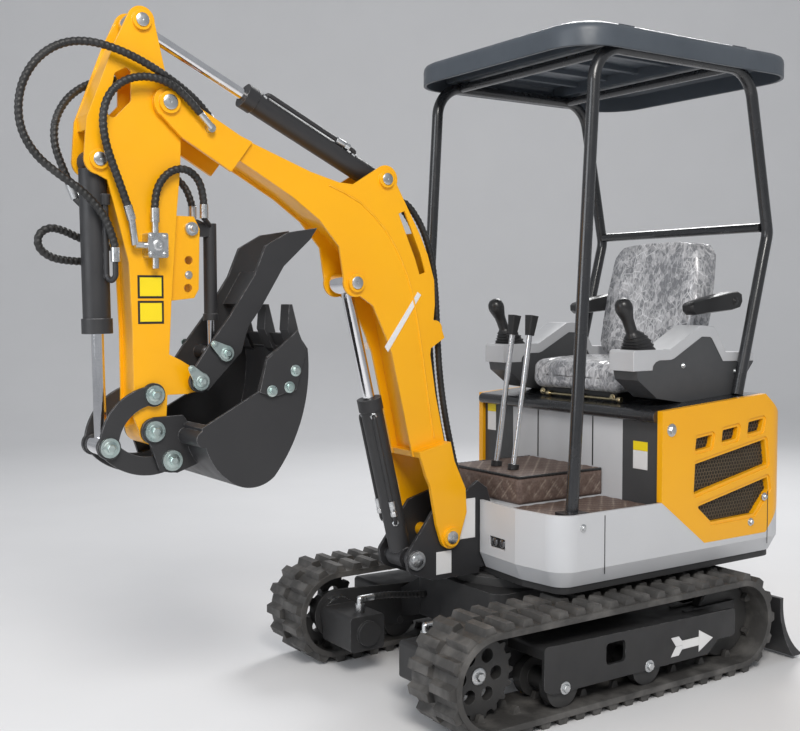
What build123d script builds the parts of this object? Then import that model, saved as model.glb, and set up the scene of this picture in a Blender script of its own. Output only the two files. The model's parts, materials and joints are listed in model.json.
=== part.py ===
from build123d import *
from collections import namedtuple
import math
import os

# Machine frame while modelling: X forward to the boom, Y to the operator's left, Z up,
# with the slewing axis at X = Y = 0 and the ground at Z = 0. Millimetres.

# Clearances
FIT = 0.3
PLAY = 5

# Tracks
TRACK_GAUGE = 920
TRACK_WIDTH = 230
AXLE_SPAN = 1110
TRACK_RADIUS = 178
LUG_HEIGHT = 22
LUG_BASE = 48
LUG_SLOPE = 68
LUG_SINK = 3
LUG_COUNT = 44
LUG_GROOVE = 14
LUG_EDGE = 6
BELT_THICKNESS = 20
HORN_HEIGHT = 22
HORN_BASE = 34
HORN_WIDTH = 18
HORN_INNER = 24
HORN_COUNT = 22
SPROCKET_TEETH = 18
SPROCKET_WIDTH = 36
TOOTH_DEPTH = 16
TOOTH_BASE = 25
TOOTH_SLOPE = 65
SPROCKET_HOLES = 6
SPROCKET_HOLE_RADIUS = 22
SPROCKET_HOLE_CIRCLE = 68
IDLER_WIDTH = 40
AXLE_RADIUS = 20
ROLLER_PLACES = (270, -105)
ROLLER_Z = 108
ROLLER_GAP = 47
ROLLER_WAIST = 34
ROLLER_AXLE_RADIUS = 14

# Track side frames and travel motors
SIDE_FRAME_PLATE = 12
SIDE_FRAME_HALF = 95
SIDE_FRAME_TOP = 250
SIDE_FRAME_FALL = 14
SIDE_FRAME_LOW = 96
SIDE_FRAME_FRONT_GAP = 198
SIDE_FRAME_REAR_GAP = 21
SIDE_FRAME_ROUND = 14
SIDE_FRAME_ROOF = 40
SIDE_WINDOW = (87, 71)
SIDE_WINDOW_PLACE = (50, 182)
YOKE_PLATE = 12
YOKE_BOSS = 42
YOKE_LENGTH = 260
YOKE_HEIGHT = 70
MOTOR_CHEEK = 88
MOTOR_RADIUS = 68
MOTOR_INNER_Y = 150
MOTOR_BLOCK_LENGTH = 140
MOTOR_BLOCK_HEIGHT = 124
MOTOR_BLOCK_DROP = 20
MOTOR_BLOCK_DEPTH = 190
MOTOR_COVER = 44
MOTOR_COVER_DEPTH = 14
MOTOR_PORT_Y = 200
MOTOR_PORT_RADIUS = 17
MOTOR_PORT_HEIGHT = 30

# Lower frame and slewing ring
LOWER_FRAME_HALF = 290
LOWER_FRAME_SIDE = 245
LOWER_FRAME_BOTTOM = 170
LOWER_FRAME_TOP = 335
LOWER_FRAME_ROUND = 50
LEG_HALF_LENGTH = 75
LEG_PLACES = (190, -190)
LEG_FOOT_LOW = 120
LEG_FOOT_HIGH = 232
LEG_SHOULDER = 200
LEG_DROP = 12
SLEW_RADIUS = 258
SLEW_CHAMFER = 8
HOUSE_BOTTOM = 372

# Blade
BLADE_WIDTH = 1150
BLADE_TOP = 240
BLADE_BOTTOM = 12
BLADE_GAP = 27
BLADE_REACH = 125
BLADE_THICKNESS = 16
BLADE_EDGE = 46
BLADE_ARM_Y = 180
BLADE_ARM_THICKNESS = 24
BLADE_ARM_ROUND = 34
BLADE_PIN = 18
BLADE_PIN_HEAD = 30
BLADE_EAR = 26
BLADE_LUG_INNER = 30
BLADE_LUG_PLATE = 14
BLADE_BACK = -AXLE_SPAN / 2 - TRACK_RADIUS - BLADE_GAP
BLADE_PIVOT = (-330, 215)
BLADE_RAM_FOOT = (-318, 290)
BLADE_RAM_EYE = (BLADE_BACK + 38, 178)

# House shell
HOUSE_HALF = 500
HOUSE_FRONT = 239
HOUSE_REAR = -892
HOUSE_CORNER = 100
FRONT_CORNER = 80
FRONT_CREASE = 24
FRONT_CREASE_Y = 300
DECK_PLATE = 24
PANEL = 12
SKIRT_TOP = 624
SKIRT_LAP = 10
SKIRT_BEVEL = 55
SKIRT_BEVEL_IN = 27
LAMP_PLACE = (198, 502)
LAMP_SIZE = (90, 37)
PANEL_FRONT = -216
PANEL_FRONT_Z = 946
PANEL_REAR = -754
PANEL_REAR_Z = 981
HOOD_REAR_Z = 868
PANEL_FOOT = 471
PANEL_FOOT_FRONT = -432
PANEL_FOOT_REAR = -764
PANEL_FOOT_RISE = 143
COVER_THICKNESS = 24
VENT_RIM = 12
VENT_RIM_DEPTH = 4
MESH_PLATE = 6
SEAT_BOX_HALF = 300
SEAT_BOX_SET = 14
ENGINE_SIZE = (360, 380, 400)
ENGINE_X = -540
ENGINE_ROUND = 20

# Floor
FLOOR_TOP = 612
FLOOR_PLATE = 14
MAT = 8
PLATFORM_TOP = 712
PLATFORM_FRONT = 157
PLATFORM_HALF = 195
MAT_OUTER = 470
FLOOR_WALL_SET = 20
FLOOR_WALL_LENGTH = 380

# Canopy
HOOP_Y = 430
HOOP_TUBE = 21
HOOP_BENDS = (120, 120, 90)
HOOP_FOOT_PLATE = (84, 70, 10)
ROOF_RAIL_Z = 2150
ROOF_DROP = 12
ROOF_FRONT = 150
ROOF_REAR = -950
ROOF_HALF = 487
ROOF_CORNER = 90
ROOF_FASCIA = 88
ROOF_CROWN = 42
ROOF_PAD = 22
ROOF_SLOPE = 150
ROOF_PAD_SET = 190
ROOF_SKIN = 9
ROOF_RIB = 70
CROSSBAR_PLACES = (-60, -620)
CROSSBAR_BACK = (-826, 1590)
CROSSBAR_TUBE = 17

# Seat and controls
CUSHION_HALF = 230
CUSHION_BOTTOM = 985
CUSHION_TOP = 1100
CUSHION_ROUND = 14
SEAT_BASE_HALF = 200
SEAT_BASE_FRONT = -300
SEAT_BASE_REAR = -704
SEAT_BACK_HALF = 250
SEAT_BACK_TOP = 1550
SEAT_BACK_ROUND = 22
SEAT_SPINE = 330
ARMREST_OUTER = 328
ARMREST_WIDTH = 54
ARMREST_PIVOT = (-770, 1316)
ARMREST_BAR = 16
CONSOLE_INNER = 292
CONSOLE_OUTER = 404
CONSOLE_TOP = 1148
STICK_X = -268
STICK_SINK = 38
STICK_LEAN = (0.42, 0, 0.9)
LEVER_ROD = 10
LEVER_LENGTH = 500
LEVER_BOOT = (20, 26)
LEVER_LEAN = (-0.155, 0, 1)
LEVER_PLACES = ((68, 55), (60, -50))
GRIP_FOOT = (26, 26, 5)
GRIP_HEAD = (40, 36, 6)
GRIP_FROM = 490
GRIP_TO = 562

# Pin centres of the digging gear, as (X, Z), with the boom and arm as parked
BOOM_FOOT = (382, 522)
LIFT_FOOT = (513, 455)
LIFT_EYE = (732, 1379)
ARM_FOOT = (615, 1715)
ARM_PIVOT = (1363, 1888)
ARM_EYE = (1435, 2113)
BUCKET_FOOT = (1564, 1716)
BUCKET_PIVOT = (1419, 948)
GUIDE_PIVOT = (1418, 1053)
LINK_PIN = (1553, 910)
BUCKET_EAR = (1367, 860)
THUMB_FOOT = (1281, 1534)
THUMB_PIVOT = (1287, 1088)
THUMB_EYE = (1207, 1168)
THUMB_HEAD = (THUMB_EYE[0], THUMB_FOOT[1])

# Pin radii, and the radii of their heads
BOOM_PIN = 22
BOOM_PIN_HEAD = 32
LIFT_PIN = 20
LIFT_PIN_HEAD = 30
RAM_PIN = 18
RAM_PIN_HEAD = 28
BUCKET_PIN = 20
BUCKET_PIN_HEAD = 30
GUIDE_PIN = 20
LINK_PIN_RADIUS = 16
THUMB_PIN = 12
THUMB_PIN_HEAD = 20
THUMB_PIVOT_PIN = 16
THUMB_PIVOT_HEAD = 26
THUMB_EYE_HEAD = 22
PIN_HEAD = 10

# Plate layers of the digging gear, as distances from the middle plane
BOOM_HALF = 65
DIPPER_HALF = 57
PLATE = 8
BRACKET_INNER = 75
BRACKET_PLATE = 12
BRACKET_WEB = 14
FOOT_EAR_INNER = 91
FOOT_EAR_PLATE = 14
TIP_CHEEK = 12
TIP_ROUND = 45
TIP_HOLLOW = 118
LINK_INNER = 44
LINK_PLATE = 12
LINK_WIDTH = 54
EAR_INNER = 58
EAR_PLATE = 12
THUMB_INNER = 84
THUMB_PLATE = 12
BRACKET_LUG_INNER = 20
BRACKET_LUG_PLATE = 10
SPARE_HOLE = 12.5
SPARE_HOLES = ((1289, 1442), (1292, 1360))
LOCK_HOLE = 5
LOCK_HOLE_PLACE = (1290, 1399)

# Thumb cylinder
THUMB_TUBE = 20
THUMB_TUBE_LENGTH = 290
THUMB_STROKE = 215
THUMB_ROD = 10
THUMB_ROD_FROM = 85
THUMB_EYE_HALF = 20
THUMB_LUG_HALF = 18
THUMB_GLAND = 3
THUMB_SLEEVE_GAP = 4

# Hydraulic cylinders with their eyes in line
Ram = namedtuple("Ram", "foot eye length radius rod foot_pin foot_half bore_from rod_from eye_pin eye_half")
BLADE_RAM = Ram(BLADE_RAM_FOOT, BLADE_RAM_EYE, length=260, radius=30, rod=16, foot_pin=13, foot_half=29,
                bore_from=60, rod_from=130, eye_pin=13, eye_half=29)
LIFT_RAM = Ram(LIFT_FOOT, LIFT_EYE, length=560, radius=37, rod=20, foot_pin=LIFT_PIN, foot_half=40,
               bore_from=240, rod_from=400, eye_pin=LIFT_PIN, eye_half=40)
ARM_RAM = Ram(ARM_FOOT, ARM_EYE, length=530, radius=35, rod=18, foot_pin=RAM_PIN, foot_half=40,
              bore_from=120, rod_from=405, eye_pin=RAM_PIN, eye_half=36)
BUCKET_RAM = Ram(BUCKET_FOOT, LINK_PIN, length=486, radius=39, rod=18, foot_pin=RAM_PIN, foot_half=38,
                 bore_from=90, rod_from=390, eye_pin=LINK_PIN_RADIUS, eye_half=40)
EYE_BOSS = 1.75
GLAND_LENGTH = 1.1
GLAND_RADIUS = 1.12

# Valve block on the arm, and the fittings of the hoses
VALVE_X = 1412
VALVE_Z = 1480
VALVE_SIZE = (60, 46, 70)
VALVE_ROUND = 6
NUT_RADIUS = 10
NUT_LENGTH = 30
CRIMP_RADIUS = 13
CRIMP_LENGTH = 40
PIPE_RADIUS = 8
PIPE_BEND = 12
PORT_SIZE = 30

# Bucket
BUCKET_HALF = 200
BUCKET_PLATE = 10
BUCKET_FLOOR = 13
BUCKET_TUBE = 24
BUCKET_TUBE_PLACE = (1322, 930)
CUTTER_PLATE = 10
TOOTH_WIDTH = 52
TOOTH_PLACES = (150, 0, -150)

# Hoses, as routes of their middle lines in (X, Y, Z)
HOSE_RADIUS = 11
MOTOR_HOSE_RADIUS = 12
HOSE_BEND_SHARE = 0.45
HOSE_END_GAP = 3
ARM_HOSE_OUTER = [(1228, 46, 1868), (1258, 56, 1894), (1312, 72, 1928), (1376, 86, 1960), (1446, 92, 1992),
                  (1520, 90, 2018), (1598, 82, 2032), (1668, 72, 2020), (1728, 62, 1978), (1768, 54, 1914),
                  (1782, 50, 1840), (1772, 50, 1772), (1734, 52, 1712), (1680, 56, 1670), (1622, 61, 1632),
                  (1572, 66, 1584), (1540, 70, 1528), (1527, 72, 1472)]
ARM_HOSE_INNER = [(1276, 96, 1862), (1318, 97, 1906), (1370, 98, 1940), (1432, 98, 1952), (1496, 98, 1938),
                  (1544, 97, 1898), (1566, 95, 1838), (1560, 92, 1770), (1538, 89, 1704), (1512, 86, 1640),
                  (1494, 84, 1590)]
ARM_HOSE_FAR = [(1228, -46, 1868), (1260, -57, 1896), (1314, -73, 1930), (1382, -85, 1960), (1460, -86, 1970),
                (1538, -78, 1950), (1606, -65, 1904), (1648, -54, 1840), (1657, -48, 1772), (1638, -46, 1708),
                (1614, -46, 1654)]
BUCKET_HOSE = [(1484, -72, 1478), (1532, -71, 1487), (1584, -65, 1503), (1632, -54, 1523), (1676, -44, 1530),
               (1708, -40, 1508), (1708, -42, 1472), (1674, -48, 1446), (1626, -56, 1437), (1580, -62, 1436)]
THUMB_HOSE = [(1412, 80, 1586), (1410, 80, 1622), (1396, 80, 1660), (1368, 79, 1690), (1332, 76, 1704),
              (1296, 68, 1698), (1266, 58, 1674), (1250, 48, 1640), (1244, 42, 1606)]
BOOM_HOSE = [(556, 24, 1640), (530, 24, 1656), (490, 24, 1634), (440, 24, 1566), (402, 24, 1470), (386, 24, 1350),
             (380, 24, 1210), (370, 24, 1070), (350, 24, 940), (322, 24, 820), (296, 24, 720), (272, 24, 640),
             (257, 24, 583)]
MOTOR_HOSE = [(500, 200, 268), (452, 198, 268), (396, 192, 262), (340, 182, 256), (290.3, 172, 254)]

AXLE_Z = TRACK_RADIUS
BELT_OUTER = TRACK_RADIUS - LUG_HEIGHT
BELT_INNER = BELT_OUTER - BELT_THICKNESS
TRACK_Y = TRACK_GAUGE / 2
SIDE_FRAME_FRONT = AXLE_SPAN / 2 - SIDE_FRAME_FRONT_GAP
SIDE_FRAME_REAR = SIDE_FRAME_REAR_GAP - AXLE_SPAN / 2
ROOF_EDGE = ROOF_RAIL_Z - ROOF_DROP
BRACKET_SEAT = HOUSE_BOTTOM + DECK_PLATE
FOOT_OUTER = FOOT_EAR_INNER + FOOT_EAR_PLATE
EAR_OUTER = EAR_INNER + EAR_PLATE
THUMB_OUTER = THUMB_INNER + THUMB_PLATE

pieces = []


def keep(part, name):
    """Label a finished piece and keep it for writing."""
    part.label = name
    pieces.append(part)


def side(y):
    """Side plane at y: X to the right, Z up, facing -Y."""
    return Plane.XZ.offset(-y)


def outline(points):
    """Filled outline in the current sketch."""
    Polygon(*points, align=None)


def mirrored_pair(part):
    """A piece and its mirror image across the middle plane, as one part."""
    with BuildPart() as pair:
        add(part)
        mirror(about=Plane.XZ)
    return pair.part


# Undercarriage

def belt_place(turn, radius):
    """Place on the belt's line after a share of one turn, with local Y pointing out of the loop."""
    half = AXLE_SPAN / 2
    bend = math.pi * radius
    distance = turn * 2 * (AXLE_SPAN + bend)
    if distance < half:
        return Location((distance, AXLE_Z - radius), (0, 0, 180))
    if distance < half + bend:
        angle = (distance - half) / radius - math.pi / 2
        return Location((half + radius * math.cos(angle), AXLE_Z + radius * math.sin(angle)),
                        (0, 0, math.degrees(angle) - 90))
    if distance < half + bend + AXLE_SPAN:
        return Location((2 * half + bend - distance, AXLE_Z + radius), (0, 0, 0))
    if distance < half + 2 * bend + AXLE_SPAN:
        angle = (distance - half - bend - AXLE_SPAN) / radius + math.pi / 2
        return Location((-half + radius * math.cos(angle), AXLE_Z + radius * math.sin(angle)),
                        (0, 0, math.degrees(angle) - 90))
    return Location((distance - 2 * AXLE_SPAN - 2 * bend, AXLE_Z - radius), (0, 0, 180))


def track():
    """Rubber belt with two staggered columns of lugs outside and two rows of guide horns inside."""
    lug_width = (TRACK_WIDTH - LUG_GROOVE) / 2 - LUG_EDGE
    with BuildPart() as piece:
        with BuildSketch(side(TRACK_Y + TRACK_WIDTH / 2)):
            with Locations((0, AXLE_Z)):
                SlotCenterToCenter(AXLE_SPAN, 2 * BELT_OUTER)
                SlotCenterToCenter(AXLE_SPAN, 2 * BELT_INNER, mode=Mode.SUBTRACT)
        extrude(amount=TRACK_WIDTH)
        for y, stagger in ((TRACK_Y + LUG_GROOVE / 2 + lug_width, 0), (TRACK_Y - LUG_GROOVE / 2, 0.5)):
            with BuildSketch(side(y)):
                with Locations(*[belt_place((k + stagger) / LUG_COUNT, BELT_OUTER - LUG_SINK)
                                 for k in range(LUG_COUNT)]):
                    Trapezoid(LUG_BASE, LUG_HEIGHT + LUG_SINK, LUG_SLOPE, align=(Align.CENTER, Align.MIN))
            extrude(amount=lug_width)
        for y in (TRACK_Y + HORN_INNER + HORN_WIDTH, TRACK_Y - HORN_INNER):
            with BuildSketch(side(y)):
                with Locations(*[belt_place(k / HORN_COUNT, BELT_INNER + LUG_SINK) for k in range(HORN_COUNT)]):
                    Trapezoid(HORN_BASE, HORN_HEIGHT + LUG_SINK, LUG_SLOPE, rotation=180,
                              align=(Align.CENTER, Align.MIN))
            extrude(amount=HORN_WIDTH)
    return piece.part


def sprocket():
    root = BELT_INNER - TOOTH_DEPTH
    with BuildPart() as piece:
        with BuildSketch(side(TRACK_Y + SPROCKET_WIDTH / 2)):
            with Locations((AXLE_SPAN / 2, AXLE_Z)):
                Circle(root)
                with PolarLocations(root + TOOTH_DEPTH / 2 - 1, SPROCKET_TEETH):
                    Trapezoid(TOOTH_BASE, TOOTH_DEPTH, TOOTH_SLOPE, rotation=-90)
                with PolarLocations(SPROCKET_HOLE_CIRCLE, SPROCKET_HOLES):
                    Circle(SPROCKET_HOLE_RADIUS, mode=Mode.SUBTRACT)
        extrude(amount=SPROCKET_WIDTH)
    return piece.part


def idler():
    with BuildPart() as piece:
        with BuildSketch(side(TRACK_Y + IDLER_WIDTH / 2)):
            with Locations((-AXLE_SPAN / 2, AXLE_Z)):
                Circle(BELT_INNER - FIT)
                Circle(AXLE_RADIUS + FIT, mode=Mode.SUBTRACT)
        extrude(amount=IDLER_WIDTH)
        rims = piece.edges().filter_by(GeomType.CIRCLE).group_by(SortBy.RADIUS)[-1]
        chamfer(rims, PLAY)
    return piece.part


def rollers():
    """Track rollers: two wheels on a waist that lets the guide horns pass."""
    half = SIDE_FRAME_HALF - SIDE_FRAME_PLATE - FIT
    places = [(x, ROLLER_Z) for x in ROLLER_PLACES]
    wheel = ROLLER_Z - AXLE_Z + BELT_INNER - FIT
    with BuildPart() as piece:
        for radius, y, width in ((wheel, TRACK_Y + half, half - ROLLER_GAP), (wheel, TRACK_Y - ROLLER_GAP, half - ROLLER_GAP),
                                 (ROLLER_WAIST, TRACK_Y + half, 2 * half),
                                 (ROLLER_AXLE_RADIUS, TRACK_Y + SIDE_FRAME_HALF, 2 * SIDE_FRAME_HALF)):
            with BuildSketch(side(y)):
                with Locations(*places):
                    Circle(radius)
            extrude(amount=width)
    return piece.part


def side_frame():
    """Track frame: a channel over the rollers, a yoke for the idler and a cheek for the motor."""
    outer = TRACK_Y + SIDE_FRAME_HALF
    inner = TRACK_Y - SIDE_FRAME_HALF
    low = SIDE_FRAME_LOW
    with BuildPart() as piece:
        with BuildSketch(side(outer)) as plate:
            outline([(SIDE_FRAME_FRONT, low + 16), (SIDE_FRAME_FRONT, SIDE_FRAME_TOP),
                     (SIDE_FRAME_REAR, SIDE_FRAME_TOP - SIDE_FRAME_FALL), (SIDE_FRAME_REAR, low + 44),
                     (SIDE_FRAME_REAR + 90, low + 44), (SIDE_FRAME_REAR + 140, low),
                     (SIDE_FRAME_FRONT - 40, low)])
            fillet(plate.vertices(), SIDE_FRAME_ROUND)
            with Locations(SIDE_WINDOW_PLACE):
                RectangleRounded(*SIDE_WINDOW, SIDE_FRAME_ROUND, mode=Mode.SUBTRACT)
        extrude(amount=2 * SIDE_FRAME_HALF)
        channel_top = SIDE_FRAME_TOP - SIDE_FRAME_ROOF
        with BuildSketch(side(outer - SIDE_FRAME_PLATE)):
            with Locations((0, channel_top)):
                Rectangle(AXLE_SPAN, channel_top, align=(Align.CENTER, Align.MAX))
            with Locations((-AXLE_SPAN / 2, AXLE_Z)):
                Circle(BELT_INNER + PLAY)
        extrude(amount=2 * (SIDE_FRAME_HALF - SIDE_FRAME_PLATE), mode=Mode.SUBTRACT)
        with BuildSketch(side(outer)):
            with Locations(*[(x, ROLLER_Z) for x in ROLLER_PLACES]):
                Circle(ROLLER_AXLE_RADIUS + FIT)
        extrude(amount=2 * SIDE_FRAME_HALF, mode=Mode.SUBTRACT)
        # Yoke that carries the idler's axle
        yoke_half = IDLER_WIDTH / 2 + YOKE_PLATE + PLAY
        for y in (TRACK_Y + yoke_half, TRACK_Y - yoke_half + YOKE_PLATE):
            with BuildSketch(side(y)):
                with Locations((SIDE_FRAME_REAR + YOKE_LENGTH / 4, AXLE_Z + YOKE_BOSS - YOKE_PLATE)):
                    Rectangle(YOKE_LENGTH, YOKE_HEIGHT)
                with Locations((-AXLE_SPAN / 2, AXLE_Z)):
                    Circle(YOKE_BOSS)
            extrude(amount=YOKE_PLATE)
        with BuildSketch(side(TRACK_Y + yoke_half)):
            with Locations((-AXLE_SPAN / 2, AXLE_Z)):
                Circle(AXLE_RADIUS)
        extrude(amount=2 * yoke_half)
        # Cheek that carries the travel motor
        with BuildSketch(side(inner + SIDE_FRAME_PLATE)):
            outline([(SIDE_FRAME_FRONT - 60, low + 10), (SIDE_FRAME_FRONT - 60, SIDE_FRAME_TOP),
                     (AXLE_SPAN / 2, AXLE_Z + MOTOR_CHEEK), (AXLE_SPAN / 2, AXLE_Z - MOTOR_CHEEK)])
            with Locations((AXLE_SPAN / 2, AXLE_Z)):
                Circle(MOTOR_CHEEK)
                Circle(MOTOR_RADIUS, mode=Mode.SUBTRACT)
        extrude(amount=SIDE_FRAME_PLATE)
    return piece.part


def travel_motor():
    """Hub in the sprocket, motor block with its round cover, and the hose elbow on top."""
    face = TRACK_Y - SPROCKET_WIDTH / 2
    block_y = MOTOR_INNER_Y + MOTOR_BLOCK_DEPTH
    block_z = AXLE_Z - MOTOR_BLOCK_DROP
    port_z = block_z + MOTOR_BLOCK_HEIGHT / 2
    elbow_z = MOTOR_HOSE[0][2]
    with BuildPart() as piece:
        with BuildSketch(side(face)):
            with Locations((AXLE_SPAN / 2, AXLE_Z)):
                Circle(MOTOR_RADIUS)
        extrude(amount=face - block_y)
        with BuildSketch(side(block_y)):
            with Locations((AXLE_SPAN / 2, block_z)):
                RectangleRounded(MOTOR_BLOCK_LENGTH, MOTOR_BLOCK_HEIGHT, SIDE_FRAME_ROUND)
        extrude(amount=MOTOR_BLOCK_DEPTH)
        with BuildSketch(side(MOTOR_INNER_Y)):
            with Locations((AXLE_SPAN / 2, block_z)):
                Circle(MOTOR_COVER)
        extrude(amount=MOTOR_COVER_DEPTH)
        with Locations((AXLE_SPAN / 2, MOTOR_PORT_Y, port_z)):
            Cylinder(MOTOR_PORT_RADIUS, MOTOR_PORT_HEIGHT, align=(Align.CENTER, Align.CENTER, Align.MIN))
            Cylinder(MOTOR_HOSE_RADIUS, elbow_z - port_z, align=(Align.CENTER, Align.CENTER, Align.MIN))
        with Locations((AXLE_SPAN / 2, MOTOR_PORT_Y, elbow_z)):
            Sphere(MOTOR_HOSE_RADIUS)
        with BuildSketch(Plane(origin=(AXLE_SPAN / 2, MOTOR_PORT_Y, elbow_z), z_dir=(-1, 0, 0))):
            Circle(MOTOR_HOSE_RADIUS)
        extrude(amount=AXLE_SPAN / 2 - MOTOR_HOSE[0][0])
    return piece.part


def lower_frame():
    leg_reach = TRACK_Y - SIDE_FRAME_HALF
    with BuildPart() as piece:
        with BuildSketch(Plane.XY.offset(LOWER_FRAME_BOTTOM)):
            RectangleRounded(2 * LOWER_FRAME_HALF, 2 * LOWER_FRAME_SIDE, LOWER_FRAME_ROUND)
        extrude(amount=LOWER_FRAME_TOP - LOWER_FRAME_BOTTOM)
        for x in LEG_PLACES:
            with BuildSketch(Plane.YZ.offset(x - LEG_HALF_LENGTH)):
                outline([(-leg_reach, LEG_FOOT_LOW), (-leg_reach, LEG_FOOT_HIGH),
                         (-LEG_SHOULDER, LOWER_FRAME_TOP - LEG_DROP), (LEG_SHOULDER, LOWER_FRAME_TOP - LEG_DROP),
                         (leg_reach, LEG_FOOT_HIGH), (leg_reach, LEG_FOOT_LOW),
                         (LEG_SHOULDER, LOWER_FRAME_BOTTOM), (-LEG_SHOULDER, LOWER_FRAME_BOTTOM)])
            extrude(amount=2 * LEG_HALF_LENGTH)
        # Ears and stub pins for the blade arms
        x, z = BLADE_PIVOT
        root = PLAY - LOWER_FRAME_HALF
        ear = BLADE_ARM_Y - BLADE_ARM_THICKNESS / 2 - FIT
        for y in (ear, BLADE_EAR - ear):
            with BuildSketch(side(y)):
                outline([(root, z - 42), (root, z + 46), (x, z + 40), (x, z - 40)])
                with Locations((x, z)):
                    Circle(40)
            extrude(amount=BLADE_EAR)
        head = BLADE_ARM_Y + BLADE_ARM_THICKNESS / 2 + FIT
        for radius, y, depth in ((BLADE_PIN, head, head - ear + FIT), (BLADE_PIN, FIT - ear, head - ear + FIT),
                                 (BLADE_PIN_HEAD, head + PIN_HEAD, PIN_HEAD), (BLADE_PIN_HEAD, -head, PIN_HEAD)):
            with BuildSketch(side(y)):
                with Locations((x, z)):
                    Circle(radius)
            extrude(amount=depth)
        # Ears and pin for the blade cylinder
        x, z = BLADE_RAM_FOOT
        lug_outer = BLADE_LUG_INNER + BLADE_LUG_PLATE
        for y in (lug_outer, -BLADE_LUG_INNER):
            with BuildSketch(side(y)):
                outline([(root, z - 60), (root, z + 30), (x, z + BLADE_EAR), (x, z - BLADE_EAR)])
                with Locations((x, z)):
                    Circle(BLADE_EAR)
            extrude(amount=BLADE_LUG_PLATE)
        with BuildSketch(side(lug_outer)):
            with Locations((x, z)):
                Circle(BLADE_RAM.foot_pin)
        extrude(amount=2 * lug_outer)
    return piece.part


def slew_ring():
    with BuildPart() as piece:
        with BuildSketch(Plane.XY.offset(LOWER_FRAME_TOP)):
            Circle(SLEW_RADIUS)
        extrude(amount=HOUSE_BOTTOM - LOWER_FRAME_TOP - FIT)
        chamfer(piece.edges().group_by(Axis.Z)[-1], SLEW_CHAMFER)
    return piece.part


# Blade

def blade():
    """Curved dozer blade with its two arms and the lugs of its cylinder."""
    x, z = BLADE_PIVOT
    toe = BLADE_BACK - BLADE_REACH
    waist = BLADE_BOTTOM + (BLADE_TOP - BLADE_BOTTOM) * 0.43
    with BuildPart() as piece:
        with BuildSketch(side(BLADE_WIDTH / 2)):
            with BuildLine():
                top = Line((BLADE_BACK, BLADE_TOP), (BLADE_BACK - BLADE_THICKNESS, BLADE_TOP))
                face = ThreePointArc(top @ 1, (BLADE_BACK - BLADE_REACH / 3, waist), (toe, BLADE_BOTTOM + 6))
                edge = Polyline(face @ 1, (toe + 8, BLADE_BOTTOM), (toe + BLADE_EDGE, BLADE_BOTTOM))
                ThreePointArc(edge @ 1, (BLADE_BACK - BLADE_REACH / 3 + 22, waist), top @ 0)
            make_face()
        extrude(amount=BLADE_WIDTH)
        for y in (BLADE_ARM_Y, -BLADE_ARM_Y):
            with BuildSketch(side(y + BLADE_ARM_THICKNESS / 2)):
                outline([(x, z + BLADE_ARM_ROUND), (x, z - BLADE_ARM_ROUND), (BLADE_BACK + 120, 96),
                         (BLADE_BACK - 22, 84), (BLADE_BACK - 12, 190), (BLADE_BACK + 120, 196)])
                with Locations((x, z)):
                    Circle(BLADE_ARM_ROUND)
                    Circle(BLADE_PIN + FIT, mode=Mode.SUBTRACT)
            extrude(amount=BLADE_ARM_THICKNESS)
        # Lugs for the cylinder's rod
        x, z = BLADE_RAM_EYE
        lug_outer = BLADE_LUG_INNER + BLADE_LUG_PLATE
        for y in (lug_outer, -BLADE_LUG_INNER):
            with BuildSketch(side(y)):
                outline([(x, z + 24), (x, z - 24), (BLADE_BACK - 14, z - 50), (BLADE_BACK - 8, z + 40)])
                with Locations((x, z)):
                    Circle(24)
            extrude(amount=BLADE_LUG_PLATE)
        for y in (lug_outer + PIN_HEAD, -lug_outer):
            with BuildSketch(side(y)):
                with Locations((x, z)):
                    Circle(BLADE_PIN)
            extrude(amount=PIN_HEAD)
    return piece.part


# Hydraulic cylinders

def along(foot, eye):
    """Plane at the foot pin, its Z along the cylinder and its X along Y."""
    direction = Vector(eye[0] - foot[0], 0, eye[1] - foot[1]).normalized()
    return Plane(origin=(foot[0], 0, foot[1]), x_dir=(0, 1, 0), z_dir=direction)


def bar(start, end, radius):
    """Round bar from one point to another, added to the current part."""
    run = Vector(*end) - Vector(*start)
    with BuildSketch(Plane(origin=start, z_dir=run)) as section:
        Circle(radius)
    extrude(section.sketch, amount=run.length)


def barrel(ram):
    """Tube with a foot eye and a gland, hollow for the rod."""
    boss = ram.foot_pin * EYE_BOSS
    start = boss - ram.foot_pin / 2
    gland = ram.radius * GLAND_LENGTH
    upright = (Align.CENTER, Align.CENTER, Align.MIN)
    with BuildPart(along(ram.foot, ram.eye)) as piece:
        with Locations((0, 0, start)):
            Cylinder(ram.radius, ram.length - start, align=upright)
        with Locations((0, 0, ram.length - gland)):
            Cylinder(ram.radius * GLAND_RADIUS, gland, align=upright)
        Cylinder(boss, 2 * ram.foot_half, rotation=(0, 90, 0))
        Cylinder(ram.foot_pin + FIT, 2 * ram.foot_half, rotation=(0, 90, 0), mode=Mode.SUBTRACT)
        with Locations((0, 0, ram.bore_from)):
            Cylinder(ram.rod + FIT, ram.length, align=upright, mode=Mode.SUBTRACT)
    return piece.part


def rod(foot, eye, start, radius, pin, eye_half):
    """Rod with its end eye, bored for the pin."""
    reach = math.hypot(eye[0] - foot[0], eye[1] - foot[1])
    with BuildPart(along(foot, eye)) as piece:
        with Locations((0, 0, start)):
            Cylinder(radius, reach - start, align=(Align.CENTER, Align.CENTER, Align.MIN))
        with Locations((0, 0, reach)):
            Cylinder(pin * EYE_BOSS, 2 * eye_half, rotation=(0, 90, 0))
            Cylinder(pin + FIT, 2 * eye_half, rotation=(0, 90, 0), mode=Mode.SUBTRACT)
    return piece.part


def ram_rod(ram):
    return rod(ram.foot, ram.eye, ram.rod_from, ram.rod, ram.eye_pin, ram.eye_half)


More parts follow.
